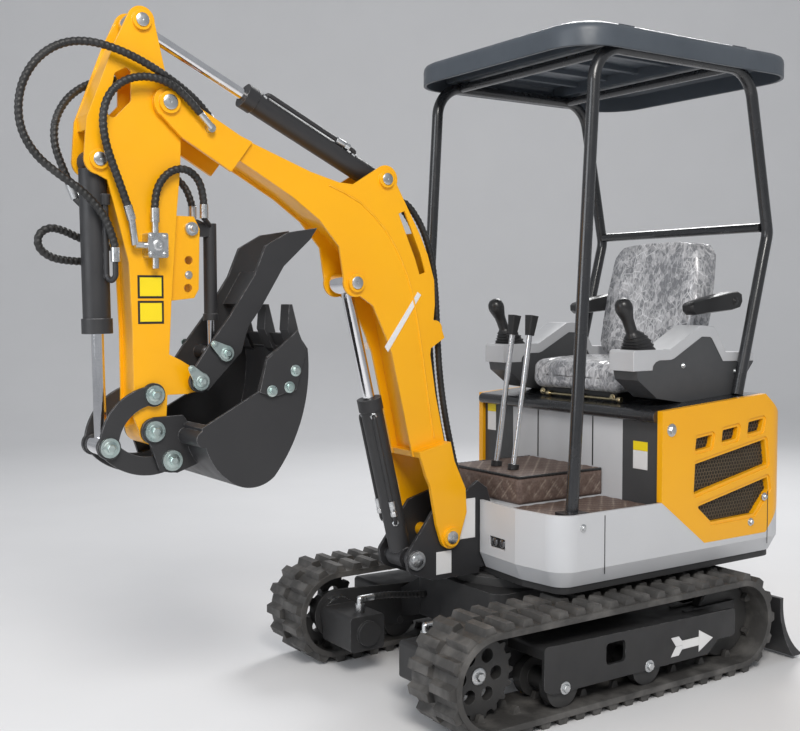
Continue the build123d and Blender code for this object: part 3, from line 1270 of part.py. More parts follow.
def boom():
    """Welded box with overhanging side plates, foot ears, cylinder ears and tip cheeks."""
    foot_x, foot_z = BOOM_FOOT
    tip_x, tip_z = ARM_PIVOT
    port_x, port_z = BOOM_PORT
    hose_x, hose_y, hose_z = ARM_HOSE_INNER[0]
    tip_outer = BOOM_HALF + TIP_CHEEK
    with BuildPart() as piece:
        with BuildSketch(side(BOOM_HALF - PLATE)):
            outline(BOOM_BOX)
            offset(amount=-PLATE, mode=Mode.SUBTRACT)
        extrude(amount=2 * (BOOM_HALF - PLATE))
        plates(BOOM_SIDE, ((ARM_FOOT, TIP_ROUND), (LIFT_EYE, TIP_ROUND)), BOOM_HALF - PLATE, PLATE)
        # Hollow end that leaves room for the arm, and the slot of the hose run
        across(ARM_PIVOT, TIP_HOLLOW, BOOM_HALF, Mode.SUBTRACT)
        with BuildSketch(side(BOOM_HALF)):
            outline(BOOM_SLOT)
        extrude(amount=2 * BOOM_HALF, mode=Mode.SUBTRACT)
        # Shoulder plate and foot ears outside the bracket
        with BuildSketch(side(FOOT_OUTER)):
            outline([(372, BOOM_BOTTOM), (382, BOOM_BOTTOM + 46), (512, BOOM_BOTTOM + 20), (506, BOOM_BOTTOM)])
        extrude(amount=2 * FOOT_OUTER)
        plates([(foot_x - 68, foot_z + 78), (foot_x - 63, foot_z + 160), (366, BOOM_BOTTOM - 20),
                (382, BOOM_BOTTOM + 46), (512, BOOM_BOTTOM + 20), (484, 739), (466, 701),
                (foot_x + 58, foot_z + 45), (foot_x + 38, foot_z - 14), (foot_x - 36, foot_z - 14)],
               ((BOOM_FOOT, 40),), FOOT_EAR_INNER, FOOT_EAR_PLATE)
        across(BOOM_FOOT, BOOM_PIN, FOOT_OUTER)
        pin_heads(BOOM_FOOT, FOOT_OUTER, BOOM_PIN_HEAD)
        # Cheeks at the tip, outside the arm
        plates([(1100, 1796), (1139, 1811), (tip_x, tip_z + TIP_ROUND), (tip_x + 38, tip_z - 24),
                (tip_x - 37, tip_z - 95), (1170, 1704), (1142, 1740)], ((ARM_PIVOT, TIP_ROUND),), BOOM_HALF, TIP_CHEEK)
        across(ARM_PIVOT, BOOM_PIN, tip_outer)
        pin_heads(ARM_PIVOT, tip_outer, BOOM_PIN_HEAD)
        # Pins of the arm and lift cylinders
        across(ARM_FOOT, RAM_PIN, BOOM_HALF)
        pin_heads(ARM_FOOT, BOOM_HALF, RAM_PIN_HEAD)
        pin_heads(LIFT_EYE, BOOM_HALF, LIFT_PIN_HEAD)
        # Hose guide ear on the back
        plates(GUIDE_EAR, (GUIDE_EAR_ROUND,), BOOM_HALF - PLATE, PLATE)
        # Hose fittings: an elbow on the left cheek, two on top, and two in the back
        bar((port_x, tip_outer, port_z), (port_x, hose_y, port_z), CRIMP_RADIUS)
        bar((port_x, hose_y, port_z), (hose_x, hose_y, hose_z), NUT_RADIUS)
        for turn in (1, -1):
            top_x, top_y, top_z = TOP_PORT
            out_x, out_y, out_z = ARM_HOSE_OUTER[0]
            bar((top_x, turn * top_y, top_z), (out_x, turn * out_y, out_z), NUT_RADIUS)
            back_x, back_y, back_z = BOOM_HOSE[0]
            bar((back_x + PORT_SIZE, turn * back_y, back_z - PORT_SIZE), (back_x, turn * back_y, back_z), NUT_RADIUS)
    return piece.part


DIPPER_SIDE = [(1397, 2120), (1368, 1989), (1320, 1796), (1323, 1710), (1336, 1576), (1356, 1317), (1368, 1110),
               (1379, 948), (1459, 948), (1475, 990), (1473, 1063), (1474, 1241), (1482, 1431), (1540, 1660),
               (1594, 1687), (1606, 1713), (1597, 1827), (1514, 2040), (1475, 2122)]
DIPPER_BOX = [(1332, 1780), (1334, 1710), (1346, 1576), (1366, 1317), (1378, 1110), (1384, 1000), (1466, 1000),
              (1463, 1063), (1464, 1241), (1472, 1431), (1504, 1600), (1504, 1690), (1450, 1780)]
DIPPER_WINDOW = [(1467, 1986), (1515, 1958), (1546, 1804), (1468, 1885)]
FRONT_FLANGE = [(1588, 1800), (1590, 1840), (1510, 2036), (1500, 2036), (1578, 1836), (1576, 1800)]
REAR_FLANGE = [(1336, 1800), (1376, 1976), (1386, 1976), (1346, 1790)]
THUMB_BRACKET = [(1352, 1571), (1271, 1571), (1253, 1535), (1258, 1357), (1273, 1331), (1372, 1320)]
THUMB_LUG = [(1370, 1170), (1330, 1150), (1262, 1108), (1268, 1060), (1310, 1050), (1376, 1050)]
HUB = 42
BUCKET_HUB = 40
FAR_PORT_X = 1470


def dipper():
    """Arm: a welded box below, open side plates above, with the thumb's bracket and lug."""
    inner = DIPPER_HALF - PLATE
    low_x, low_y, low_z = BUCKET_HOSE[0]
    hose_x, hose_y, hose_z = THUMB_HOSE[0]
    port_z = hose_z - CRIMP_LENGTH
    with BuildPart() as piece:
        with BuildSketch(side(inner)):
            outline(DIPPER_BOX)
            offset(amount=-PLATE, mode=Mode.SUBTRACT)
            outline(FRONT_FLANGE)
            outline(REAR_FLANGE)
        extrude(amount=2 * inner)
        plates(DIPPER_SIDE, ((ARM_EYE, BUCKET_HUB), (BUCKET_FOOT, HUB), (BUCKET_PIVOT, BUCKET_HUB)), inner, PLATE)
        # Window in both sides
        with BuildSketch(side(DIPPER_HALF)) as window:
            outline(DIPPER_WINDOW)
            fillet(window.vertices(), SIDE_FRAME_ROUND)
        extrude(amount=2 * DIPPER_HALF, mode=Mode.SUBTRACT)
        # Pivot hubs
        across(ARM_PIVOT, HUB, BOOM_HALF - FIT)
        across(ARM_PIVOT, BOOM_PIN + FIT, BOOM_HALF, Mode.SUBTRACT)
        across(BUCKET_PIVOT, BUCKET_HUB, DIPPER_HALF)
        across(BUCKET_PIVOT, BUCKET_PIN + FIT, DIPPER_HALF, Mode.SUBTRACT)
        # Guide link pin, bucket cylinder pin, and pin heads
        across(GUIDE_PIVOT, GUIDE_PIN, EAR_OUTER + FIT)
        pin_heads(GUIDE_PIVOT, EAR_OUTER + FIT, RAM_PIN_HEAD)
        across(BUCKET_FOOT, RAM_PIN, DIPPER_HALF)
        pin_heads(BUCKET_FOOT, DIPPER_HALF, RAM_PIN_HEAD)
        pin_heads(ARM_EYE, DIPPER_HALF, RAM_PIN_HEAD)
        # Thumb bracket with its spare holes, and the thumb's pivot lug
        bracket_outer = BRACKET_LUG_INNER + BRACKET_LUG_PLATE
        plates(THUMB_BRACKET, (), BRACKET_LUG_INNER, BRACKET_LUG_PLATE,
               [(place, SPARE_HOLE) for place in SPARE_HOLES] + [(LOCK_HOLE_PLACE, LOCK_HOLE)])
        across(THUMB_FOOT, THUMB_PIN, bracket_outer)
        pin_heads(THUMB_FOOT, bracket_outer, THUMB_PIN_HEAD)
        with BuildSketch(side(DIPPER_HALF)):
            outline(THUMB_LUG)
            with Locations(THUMB_PIVOT):
                Circle(34)
        extrude(amount=2 * DIPPER_HALF)
        across(THUMB_PIVOT, THUMB_PIVOT_PIN, THUMB_OUTER + FIT)
        pin_heads(THUMB_PIVOT, THUMB_OUTER + FIT, THUMB_PIVOT_HEAD)
        # Hose fittings on the far side
        bar((FAR_PORT_X, -DIPPER_HALF, low_z), (FAR_PORT_X, low_y - CRIMP_RADIUS, low_z), CRIMP_RADIUS)
        bar((FAR_PORT_X, low_y, low_z), (low_x, low_y, low_z), NUT_RADIUS)
        bar((hose_x, -DIPPER_HALF, port_z), (hose_x, -hose_y - CRIMP_RADIUS, port_z), CRIMP_RADIUS)
        bar((hose_x, -hose_y, port_z), (hose_x, -hose_y, hose_z), CRIMP_RADIUS)
    return piece.part


def valve_block():
    """Two-way valve on the side of the arm, with the fittings of its two hoses and a plug below."""
    length, depth, height = VALVE_SIZE
    y = DIPPER_HALF + depth / 2
    top = VALVE_Z + height / 2
    thumb_x, thumb_y, thumb_z = THUMB_HOSE[0]
    arm_x, arm_y, arm_z = ARM_HOSE_INNER[-1]
    crimp_end = (arm_x - 12, arm_y - 1, arm_z - CRIMP_LENGTH)
    corner = (arm_x - 22, y, VALVE_Z)
    with BuildPart() as piece:
        with Locations((VALVE_X, y, VALVE_Z)):
            Box(length, depth, height)
        fillet(piece.edges().filter_by(Axis.Y), VALVE_ROUND)
        bar((VALVE_X, y, VALVE_Z), (thumb_x, thumb_y, thumb_z - CRIMP_LENGTH), NUT_RADIUS)
        bar((thumb_x, thumb_y, thumb_z - CRIMP_LENGTH), (thumb_x, thumb_y, thumb_z), CRIMP_RADIUS)
        bar((VALVE_X, y, top - height), (VALVE_X, y, top - height - NUT_LENGTH), NUT_RADIUS)
        bar((VALVE_X, y, VALVE_Z), corner, NUT_RADIUS)
        bar(corner, crimp_end, NUT_RADIUS)
        bar(crimp_end, (arm_x, arm_y, arm_z), CRIMP_RADIUS)
    return piece.part


THUMB_TINE = [(1311, 1115), (1261, 1186), (1188, 1278), (1107, 1398), (1069, 1487), (992, 1530), (890, 1547),
              (914, 1512), (1008, 1427), (1085, 1304), (1130, 1244), (1153, 1170), (1262, 1060)]
THUMB_CROSS = [(1104, 1300), (1126, 1314), (1066, 1412), (1042, 1398)]


def thumb():
    """Two curved tines joined by a cross plate."""
    sleeve = THUMB_EYE_HALF + THUMB_SLEEVE_GAP
    with BuildPart() as piece:
        plates(THUMB_TINE, ((THUMB_PIVOT, 32),), THUMB_INNER, THUMB_PLATE, ((THUMB_PIVOT, THUMB_PIVOT_PIN + FIT),))
        with BuildSketch(side(THUMB_INNER)):
            outline(THUMB_CROSS)
        extrude(amount=2 * THUMB_INNER)
        # Spacer sleeves either side of the rod's eye
        for y in (THUMB_INNER, -sleeve):
            with BuildSketch(side(y)):
                with Locations(THUMB_EYE):
                    Circle(THUMB_PIN_HEAD)
            extrude(amount=THUMB_INNER - sleeve)
        pin_heads(THUMB_EYE, THUMB_OUTER, THUMB_EYE_HEAD)
    return piece.part


BUCKET_RIM = [(1318, 905), (1330, 962), (1150, 1058), (1120, 1160), (1020, 1226), (986, 1180)]
BUCKET_MOUTH = [(1316, 945), (1300, 1100), (1100, 1300), (1030, 1236), (1003, 1184), (1150, 1000), (1290, 925)]
BUCKET_EARS = [(1419, 988), (1452, 970), (1404, 830), (1350, 822), (1270, 850), (1290, 930), (1330, 990)]
SIDE_CUTTER = [(1150, 1058), (1110, 1040), (1030, 1060), (996, 1170), (1024, 1236), (1128, 1150)]
BUCKET_TOOTH = [(982, 1150), (1024, 1312), (1034, 1312), (1040, 1236), (1012, 1176)]


def bucket_bowl(inset):
    """Side outline of the bucket's bowl, drawn in by inset."""
    with BuildSketch() as bowl:
        with BuildLine():
            rim = Polyline(*BUCKET_RIM)
            heel = ThreePointArc(rim @ 1, (1005, 981), (1100, 806))
            belly = ThreePointArc(heel @ 1, (1180, 779), (1250, 808))
            ThreePointArc(belly @ 1, (1291, 850), rim @ 0)
        make_face()
        if inset:
            offset(amount=-inset, kind=Kind.INTERSECTION, mode=Mode.REPLACE)
            outline(BUCKET_MOUTH)
    return bowl.sketch


def bucket():
    """Digging bucket: a rolled floor between two side plates, a lip with teeth, and hanger ears."""
    with BuildPart() as piece:
        with BuildSketch(side(BUCKET_HALF)):
            add(bucket_bowl(0))
        extrude(amount=2 * BUCKET_HALF)
        plates(BUCKET_EARS, ((BUCKET_PIVOT, 38), (BUCKET_EAR, 36)), EAR_INNER, EAR_PLATE)
        with BuildSketch(side(BUCKET_HALF - BUCKET_PLATE)):
            add(bucket_bowl(BUCKET_FLOOR))
        extrude(amount=2 * (BUCKET_HALF - BUCKET_PLATE), mode=Mode.SUBTRACT)
        # Cross tube along the top edge, and the pins of the ears
        across(BUCKET_TUBE_PLACE, BUCKET_TUBE, BUCKET_HALF)
        across(BUCKET_PIVOT, BUCKET_PIN, EAR_OUTER)
        pin_heads(BUCKET_PIVOT, EAR_OUTER, BUCKET_PIN_HEAD)
        pin_heads(BUCKET_EAR, EAR_OUTER, BUCKET_PIN_HEAD)
        # Side cutters and teeth
        plates(SIDE_CUTTER, (), BUCKET_HALF, CUTTER_PLATE)
        for y in TOOTH_PLACES:
            with BuildSketch(side(y + TOOTH_WIDTH / 2)):
                outline(BUCKET_TOOTH)
            extrude(amount=TOOTH_WIDTH)
    return piece.part


GUIDE_BULGE = (1514, 1006)
LINK_BULGE = (1468, 852)
LINK_END = 34


def guide_link():
    """Pair of curved links from the arm to the cylinder's rod end, with stub pins through the bucket links."""
    with BuildPart() as piece:
        curved_plates(GUIDE_PIVOT, GUIDE_BULGE, LINK_PIN, ((GUIDE_PIVOT, LINK_END), (LINK_PIN, LINK_END)),
                      EAR_INNER, EAR_PLATE, ((GUIDE_PIVOT, GUIDE_PIN + FIT),))
        for y in (EAR_INNER, FIT - LINK_INNER):
            with BuildSketch(side(y)):
                with Locations(LINK_PIN):
                    Circle(LINK_PIN_RADIUS)
            extrude(amount=EAR_INNER - LINK_INNER + FIT)
        pin_heads(LINK_PIN, EAR_OUTER, RAM_PIN_HEAD)
    return piece.part


def bucket_link():
    """Pair of curved links from the rod end to the bucket's ears."""
    with BuildPart() as piece:
        curved_plates(LINK_PIN, LINK_BULGE, BUCKET_EAR, ((LINK_PIN, 30), (BUCKET_EAR, 28)), LINK_INNER, LINK_PLATE,
                      ((LINK_PIN, LINK_PIN_RADIUS + FIT), (BUCKET_EAR, LINK_PIN_RADIUS + FIT)))
    return piece.part


# Hoses

def hose(points, radius):
    """Tube along a route, with each corner rounded as far as its runs allow."""
    first = Vector(*points[0])
    last = Vector(*points[-1])
    start = first + (Vector(*points[1]) - first).normalized() * HOSE_END_GAP
    end = last + (Vector(*points[-2]) - last).normalized() * HOSE_END_GAP
    points = [start.to_tuple()] + points[1:-1] + [end.to_tuple()]
    bends = []
    for before, corner, after in zip(points, points[1:], points[2:]):
        run_in = Vector(*corner) - Vector(*before)
        run_out = Vector(*after) - Vector(*corner)
        half_turn = math.radians(run_in.get_angle(run_out)) / 2
        bends.append(HOSE_BEND_SHARE * min(run_in.length, run_out.length) / math.tan(half_turn))
    with BuildPart() as piece:
        with BuildLine() as path:
            FilletPolyline(*points, radius=bends)
        with BuildSketch(Plane(origin=path.line @ 0, z_dir=path.line % 0)):
            Circle(radius)
        sweep(path=path.line)
    length = sum(edge.length for edge in path.edges())
    full = math.pi * radius ** 2 * length
    print("hose radii", [round(bend) for bend in bends], "length", round(length),
          "volume share", round(piece.part.volume / full, 4))
    return piece.part


def flipped(points):
    """A route mirrored across the middle plane."""
    return [(x, -y, z) for x, y, z in points]


keep(mirrored_pair(sprocket()), "sprockets")
keep(mirrored_pair(idler()), "idlers")
keep(mirrored_pair(rollers()), "track_rollers")
keep(track(), "track_left")
keep(track().mirror(Plane.XZ), "track_right")
keep(side_frame(), "track_frame_left")
keep(side_frame().mirror(Plane.XZ), "track_frame_right")
keep(mirrored_pair(travel_motor()), "travel_motors")
keep(lower_frame(), "lower_frame")
keep(slew_ring(), "slew_ring")
keep(blade(), "blade")
keep(barrel(BLADE_RAM), "blade_barrel")
keep(ram_rod(BLADE_RAM), "blade_rod")
keep(house_frame(), "house_frame")
keep(boom_bracket(), "boom_bracket")
keep(skirt(), "skirt")
cover = engine_cover()
keep(half_of(cover, Keep.BOTTOM), "engine_cover_left")
keep(half_of(cover, Keep.TOP), "engine_cover_right")
keep(vent_mesh(), "vent_mesh")
keep(counterweight(), "counterweight")
keep(top_deck(), "top_deck")
panel_middle, panel_corners = seat_box()
keep(panel_middle, "seat_box_panel")
keep(panel_corners, "seat_box_corners")
keep(engine(), "engine")
keep(floor_deck(), "floor_deck")
mat_platform, mat_wells = mats()
keep(mat_platform, "platform_mat")
keep(mat_wells, "footwell_mats")
keep(hoop(), "canopy_hoop_left")
keep(hoop().mirror(Plane.XZ), "canopy_hoop_right")
keep(crossbars(), "canopy_crossbars")
keep(roof(), "canopy_roof")
keep(seat_frame(), "seat_frame")
seat_cushion, seat_back = seat_pads()
keep(seat_cushion, "seat_cushion")
keep(seat_back, "seat_back")
keep(mirrored_pair(armrest()), "armrests")
keep(mirrored_pair(console()), "consoles")
keep(mirrored_pair(joystick()), "joysticks")
with BuildPart() as levers:
    for foot_x, lever_y in LEVER_PLACES:
        add(travel_lever(foot_x, lever_y))
keep(levers.part, "travel_levers")
keep(boom(), "boom")
keep(dipper(), "dipper")
keep(valve_block(), "valve_block")
keep(thumb(), "thumb")
keep(bucket(), "bucket")
keep(guide_link(), "guide_link")
keep(bucket_link(), "bucket_link")
keep(barrel(LIFT_RAM), "lift_barrel")
keep(ram_rod(LIFT_RAM), "lift_rod")
keep(barrel(ARM_RAM), "arm_barrel")
keep(ram_rod(ARM_RAM), "arm_rod")
keep(bucket_barrel(), "bucket_barrel")
keep(ram_rod(BUCKET_RAM), "bucket_rod")
keep(thumb_barrel(), "thumb_barrel")
keep(rod(THUMB_HEAD, THUMB_EYE, THUMB_ROD_FROM, THUMB_ROD, THUMB_PIN, THUMB_EYE_HALF), "thumb_rod")

# The row's origin is on the ground under the middle of the machine's box, measured without the hoses
box = Compound(children=[Compound(piece.wrapped) for piece in pieces]).bounding_box()
ORIGIN = Location((-(box.min.X + box.max.X) / 2, 0, 0))
print("origin shift", -(box.min.X + box.max.X) / 2, "box", box.min, box.max)

keep(hose(ARM_HOSE_OUTER, HOSE_RADIUS), "arm_hose_outer")
keep(hose(ARM_HOSE_INNER, HOSE_RADIUS), "arm_hose_inner")
keep(hose(ARM_HOSE_FAR, HOSE_RADIUS), "arm_hose_far")
keep(hose(BUCKET_HOSE, HOSE_RADIUS), "bucket_hose")
keep(hose(THUMB_HOSE, HOSE_RADIUS) + hose(flipped(THUMB_HOSE), HOSE_RADIUS), "thumb_hoses")
keep(hose(BOOM_HOSE, HOSE_RADIUS) + hose(flipped(BOOM_HOSE), HOSE_RADIUS), "boom_hoses")
keep(hose(MOTOR_HOSE, MOTOR_HOSE_RADIUS) + hose(flipped(MOTOR_HOSE), MOTOR_HOSE_RADIUS), "motor_hoses")

os.makedirs("parts", exist_ok=True)
for piece in pieces:
    placed = piece.moved(ORIGIN)
    placed.label = piece.label
    export_step(placed, "parts/" + piece.label + ".step")
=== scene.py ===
import json
import math

import bmesh
import bpy
from mathutils import Matrix, Vector, noise


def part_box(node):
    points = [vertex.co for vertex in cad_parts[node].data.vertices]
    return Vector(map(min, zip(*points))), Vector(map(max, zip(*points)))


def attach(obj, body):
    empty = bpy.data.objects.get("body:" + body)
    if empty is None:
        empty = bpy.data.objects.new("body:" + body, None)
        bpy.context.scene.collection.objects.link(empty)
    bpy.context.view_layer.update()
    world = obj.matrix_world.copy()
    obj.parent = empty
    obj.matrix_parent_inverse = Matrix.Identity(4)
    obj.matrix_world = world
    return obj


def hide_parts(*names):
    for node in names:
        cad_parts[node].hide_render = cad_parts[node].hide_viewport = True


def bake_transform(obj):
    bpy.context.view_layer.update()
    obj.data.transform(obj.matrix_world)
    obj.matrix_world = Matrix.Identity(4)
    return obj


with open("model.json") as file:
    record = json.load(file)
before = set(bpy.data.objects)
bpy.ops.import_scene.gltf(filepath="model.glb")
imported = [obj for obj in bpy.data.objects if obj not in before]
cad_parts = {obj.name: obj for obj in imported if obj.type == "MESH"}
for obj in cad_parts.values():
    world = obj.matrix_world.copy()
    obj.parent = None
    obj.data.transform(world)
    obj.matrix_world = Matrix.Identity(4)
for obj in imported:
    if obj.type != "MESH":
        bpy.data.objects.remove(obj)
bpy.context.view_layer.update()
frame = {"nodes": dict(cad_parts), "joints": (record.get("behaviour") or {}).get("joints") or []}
NODES = frame["nodes"]
SLEW_X = next(joint["pos_m"][0] for joint in frame["joints"] if joint["name"] == "slew")
MM = 0.001
LEFT = Vector((0, 1, 0))
UP = Vector((0, 0, 1))
FRONT = Vector((1, 0, 0))
BOTH = (1, -1)

# Places are in millimetres about the slewing axis: X to the boom, Y to the operator's left, Z up.


def at(x, y, z):
    """A place about the slewing axis, in millimetres, as a point in the row frame."""
    return Vector((x * MM + SLEW_X, y * MM, z * MM))


def new_object(name, data):
    made = bpy.data.objects.new(name, data)
    bpy.context.scene.collection.objects.link(made)
    return made


# Camera and light

PHOTO_WIDTH = 800
FOCAL_PIXELS = 1124.0
SENSOR = 36.0
CLIP_END = 100
CAMERA_PLACE = (2641.4, 3128.4, 1321.5)
CAMERA_YAW = math.radians(34.177)
CAMERA_PITCH = math.radians(3.294)
CAMERA_ROLL = math.radians(0.123)
SKY = (0.93, 0.96, 1.0, 1)
SKY_STRENGTH = 0.40
LIGHT_TARGET = Vector((0, 0, 1.1))
# Area lights: name, place in metres, size, watts, colour
LIGHTS = [
    ("key", (2.6, 4.6, 5.2), 2.6, 290, (1.0, 0.97, 0.93)),
    ("fill", (5.5, 0.6, 2.6), 3.2, 90, (0.93, 0.96, 1.0)),
    ("rim", (-4.2, -3.2, 4.6), 2.4, 170, (1.0, 1.0, 1.0)),
]


def make_camera():
    data = bpy.data.cameras.new("photo_camera")
    data.sensor_width = SENSOR
    data.lens = FOCAL_PIXELS * SENSOR / PHOTO_WIDTH
    data.clip_end = CLIP_END
    camera = new_object("photo_camera", data)
    forward = Vector((-math.sin(CAMERA_YAW) * math.cos(CAMERA_PITCH),
                      -math.cos(CAMERA_YAW) * math.cos(CAMERA_PITCH),
                      -math.sin(CAMERA_PITCH)))
    turn = forward.to_track_quat("-Z", "Y").to_matrix().to_4x4()
    camera.matrix_world = (Matrix.Translation(at(*CAMERA_PLACE)) @ turn
                           @ Matrix.Rotation(-CAMERA_ROLL, 4, "Z"))
    bpy.context.scene.camera = camera


def make_light():
    world = bpy.data.worlds.new("studio")
    bpy.context.scene.world = world
    world.use_nodes = True
    background = world.node_tree.nodes["Background"]
    background.inputs["Color"].default_value = SKY
    background.inputs["Strength"].default_value = SKY_STRENGTH
    for name, place, size, watts, colour in LIGHTS:
        data = bpy.data.lights.new(name, "AREA")
        data.shape = "DISK"
        data.size = size
        data.energy = watts
        data.color = colour
        lamp = new_object(name, data)
        lamp.location = place
        lamp.rotation_mode = "QUATERNION"
        lamp.rotation_quaternion = (LIGHT_TARGET - Vector(place)).to_track_quat("-Z", "Y")
    bpy.context.scene.view_settings.view_transform = "Standard"


# Meshes

def mesh_object(name, points, faces, material):
    """A new smooth object from points in the row frame and faces."""
    mesh = bpy.data.meshes.new(name)
    mesh.from_pydata([tuple(p) for p in points], [], faces)
    mesh.validate()
    mesh.materials.append(material)
    mesh.shade_smooth()
    return new_object(name, mesh)


class Batch:
    """Many small forms joined into one mesh."""

    def __init__(self):
        self.points = []
        self.faces = []
        self.values = []

    def add(self, points, faces):
        start = len(self.points)
        self.points += points
        self.faces += [[start + index for index in face] for face in faces]

    def build(self, name, look, body, slot, sharp_deg=35):
        made = mesh_object(name, self.points, self.faces, M[look])
        made.data.set_sharp_from_angle(angle=math.radians(sharp_deg))
        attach(made, body)
        return made


def axes_for(direction):
    """A direction's unit vector and two unit vectors across it."""
    along = direction.normalized()
    helper = UP if abs(along.z) < 0.9 else FRONT
    across = helper.cross(along).normalized()
    return along, across, along.cross(across)


def around(across, up, sides):
    """Unit spokes in even steps about an axis."""
    turns = [math.tau * step / sides for step in range(sides)]
    return [across * math.cos(angle) + up * math.sin(angle) for angle in turns]


def skin(count, rings):
    """Faces over rings of count points each, closed at the first and the last ring."""
    faces = []
    last = count * (rings - 1)
    for low in range(0, last, count):
        for step in range(count):
            following = (step + 1) % count
            faces.append([low + step, low + following, low + count + following, low + count + step])
    faces.append(list(reversed(range(count))))
    faces.append([last + step for step in range(count)])
    return faces


def lathe(batch, centre, direction, profile, sides=32):
    """Turned form: profile holds (radius, height) in millimetres along the direction."""
    along, across, up = axes_for(direction)
    spokes = around(across, up, sides)
    points = []
    for radius, height in profile:
        points += [centre + along * (height * MM) + spoke * (radius * MM) for spoke in spokes]
    batch.add(points, skin(sides, len(profile)))


def slab(batch, corners, direction, depth, bevel):
    """Flat form: corners in millimetres, thickened along a direction to a face with a bevelled edge."""
    outline = [at(*corner) for corner in corners]
    turned = (outline[1] - outline[0]).cross(outline[2] - outline[1])
    if turned.dot(direction) <= 0:
        outline.reverse()
    middle = sum(outline, Vector()) / len(outline)
    inner = [middle + (p - middle) * (1 - bevel * MM / (p - middle).length) for p in outline]
    shoulder = [p + direction * (depth - bevel) * MM for p in outline]
    face = [p + direction * depth * MM for p in inner]
    batch.add(outline + shoulder + face, skin(len(outline), 3))


# Materials

MIX_FIRST = 6
MIX_SECOND = 7
MIX_COLOUR = 2
EDGE_FROM = 0.985
EDGE_TO = 0.90


class Look:
    """Node tree of one material, with short calls for the nodes it uses."""

    def __init__(self, name, colour, roughness, metallic=0.0):
        self.material = bpy.data.materials.new(name)
        self.material.use_nodes = True
        self.tree = self.material.node_tree
        self.shader = self.tree.nodes["Principled BSDF"]
        self.set("Base Color", (*colour, 1))
        self.set("Roughness", roughness)
        self.set("Metallic", metallic)
        self.material.diffuse_color = (*colour, 1)
        self.place = self.node("ShaderNodeTexCoord", {}).outputs["Object"]
        self.normal = None

    def set(self, socket, value):
        self.shader.inputs[socket].default_value = value

    def feed(self, socket, source):
        self.tree.links.new(source, self.shader.inputs[socket])

    def node(self, kind, inputs, **settings):
        """A new node, whose inputs take values or the outputs of other nodes."""
        made = self.tree.nodes.new(kind)
        for name, value in settings.items():
            setattr(made, name, value)
        for socket, value in inputs.items():
            if isinstance(value, bpy.types.NodeSocket):
                self.tree.links.new(value, made.inputs[socket])
            else:
                made.inputs[socket].default_value = value
        return made

    def stretched(self, scale):
        """Object coordinates, scaled along each axis."""
        return self.node("ShaderNodeMapping", {"Scale": scale, "Vector": self.place}).outputs["Vector"]

    def noise(self, scale, detail=4.0, place=None):
        inputs = {"Scale": scale, "Detail": detail, "Vector": place or self.place}
        return self.node("ShaderNodeTexNoise", inputs).outputs["Fac"]

    def cells(self, scale, place=None):
        """Distance to the edge of each small cell."""
        inputs = {"Scale": scale, "Vector": place or self.place}
        return self.node("ShaderNodeTexVoronoi", inputs, feature="DISTANCE_TO_EDGE").outputs["Distance"]

    def facets(self, scale, place):
        """One random value for each small cell."""
        colour = self.node("ShaderNodeTexVoronoi", {"Scale": scale, "Vector": place}).outputs["Color"]
        return self.node("ShaderNodeSeparateColor", {"Color": colour}).outputs["Red"]

    def span(self, source, from_low, from_high, low, high):
        """The source, mapped from one range to another and held there."""
        inputs = {"From Min": from_low, "From Max": from_high, "To Min": low, "To Max": high, "Value": source}
        return self.node("ShaderNodeMapRange", inputs).outputs["Result"]

    def math(self, operation, *values):
        return self.node("ShaderNodeMath", dict(enumerate(values)), operation=operation).outputs["Value"]

    def mix(self, share, first, second):
        """Colour between two colours or colour sources."""
        first, second = [(*value, 1) if isinstance(value, tuple) else value for value in (first, second)]
        inputs = {0: share, MIX_FIRST: first, MIX_SECOND: second}
        return self.node("ShaderNodeMix", inputs, data_type="RGBA").outputs[MIX_COLOUR]

    def round_edges(self, radius):
        """Rounded edge normals, and a mask that is 1 on edges."""
        self.normal = self.node("ShaderNodeBevel", {"Radius": radius * MM}, samples=4).outputs["Normal"]
        true_normal = self.node("ShaderNodeNewGeometry", {}).outputs["Normal"]
        dot = self.node("ShaderNodeVectorMath", {0: self.normal, 1: true_normal}, operation="DOT_PRODUCT")
        return self.span(dot.outputs["Value"], EDGE_FROM, EDGE_TO, 0, 1)

    def bump(self, height, strength, distance):
        inputs = {"Strength": strength, "Distance": distance * MM, "Height": height}
        if self.normal:
            inputs["Normal"] = self.normal
        self.normal = self.node("ShaderNodeBump", inputs).outputs["Normal"]

    def done(self):
        if self.normal:
            self.feed("Normal", self.normal)
        return self.material


def paint(name, colour, shade, roughness, edge, coat=0.0, edge_radius=2.5, peel=0.25):
    """Sprayed paint: slight colour drift, orange peel, and brighter edges, partly wear and partly painted
    highlight where the edges catch the light.
    """
    look = Look(name, colour, roughness)
    wear_and_highlight_edges = look.round_edges(edge_radius)
    drift = look.span(look.noise(3.0), 0.35, 0.68, 0, 1)
    base = look.mix(drift, colour, shade)
    # Edge mask in patches: mixes in the lighter edge colour, partly as wear and partly as painted highlight.
    patchy = look.math("MULTIPLY", wear_and_highlight_edges, look.span(look.noise(46.0), 0.42, 0.62, 0, 1))
    look.feed("Base Color", look.mix(patchy, base, edge))
    look.feed("Roughness", look.span(look.noise(17.0), 0.3, 0.7, roughness - 0.06, roughness + 0.08))
    look.set("Coat Weight", coat)
    look.set("Coat Roughness", 0.12)
    look.bump(look.noise(420.0, 2.0), peel, 0.25)
    return look.done()


def moulded(name, colour, shade, roughness, edge_radius=3.0, grain_strength=0.3):
    """Moulded plastic with a fine grain."""
    look = Look(name, colour, roughness)
    look.round_edges(edge_radius)
    look.feed("Base Color", look.mix(look.span(look.noise(5.0), 0.35, 0.65, 0, 1), colour, shade))
    look.feed("Roughness", look.span(look.noise(28.0), 0.3, 0.7, roughness - 0.07, roughness + 0.07))
    look.bump(look.noise(900.0, 3.0), grain_strength, 0.3)
    return look.done()


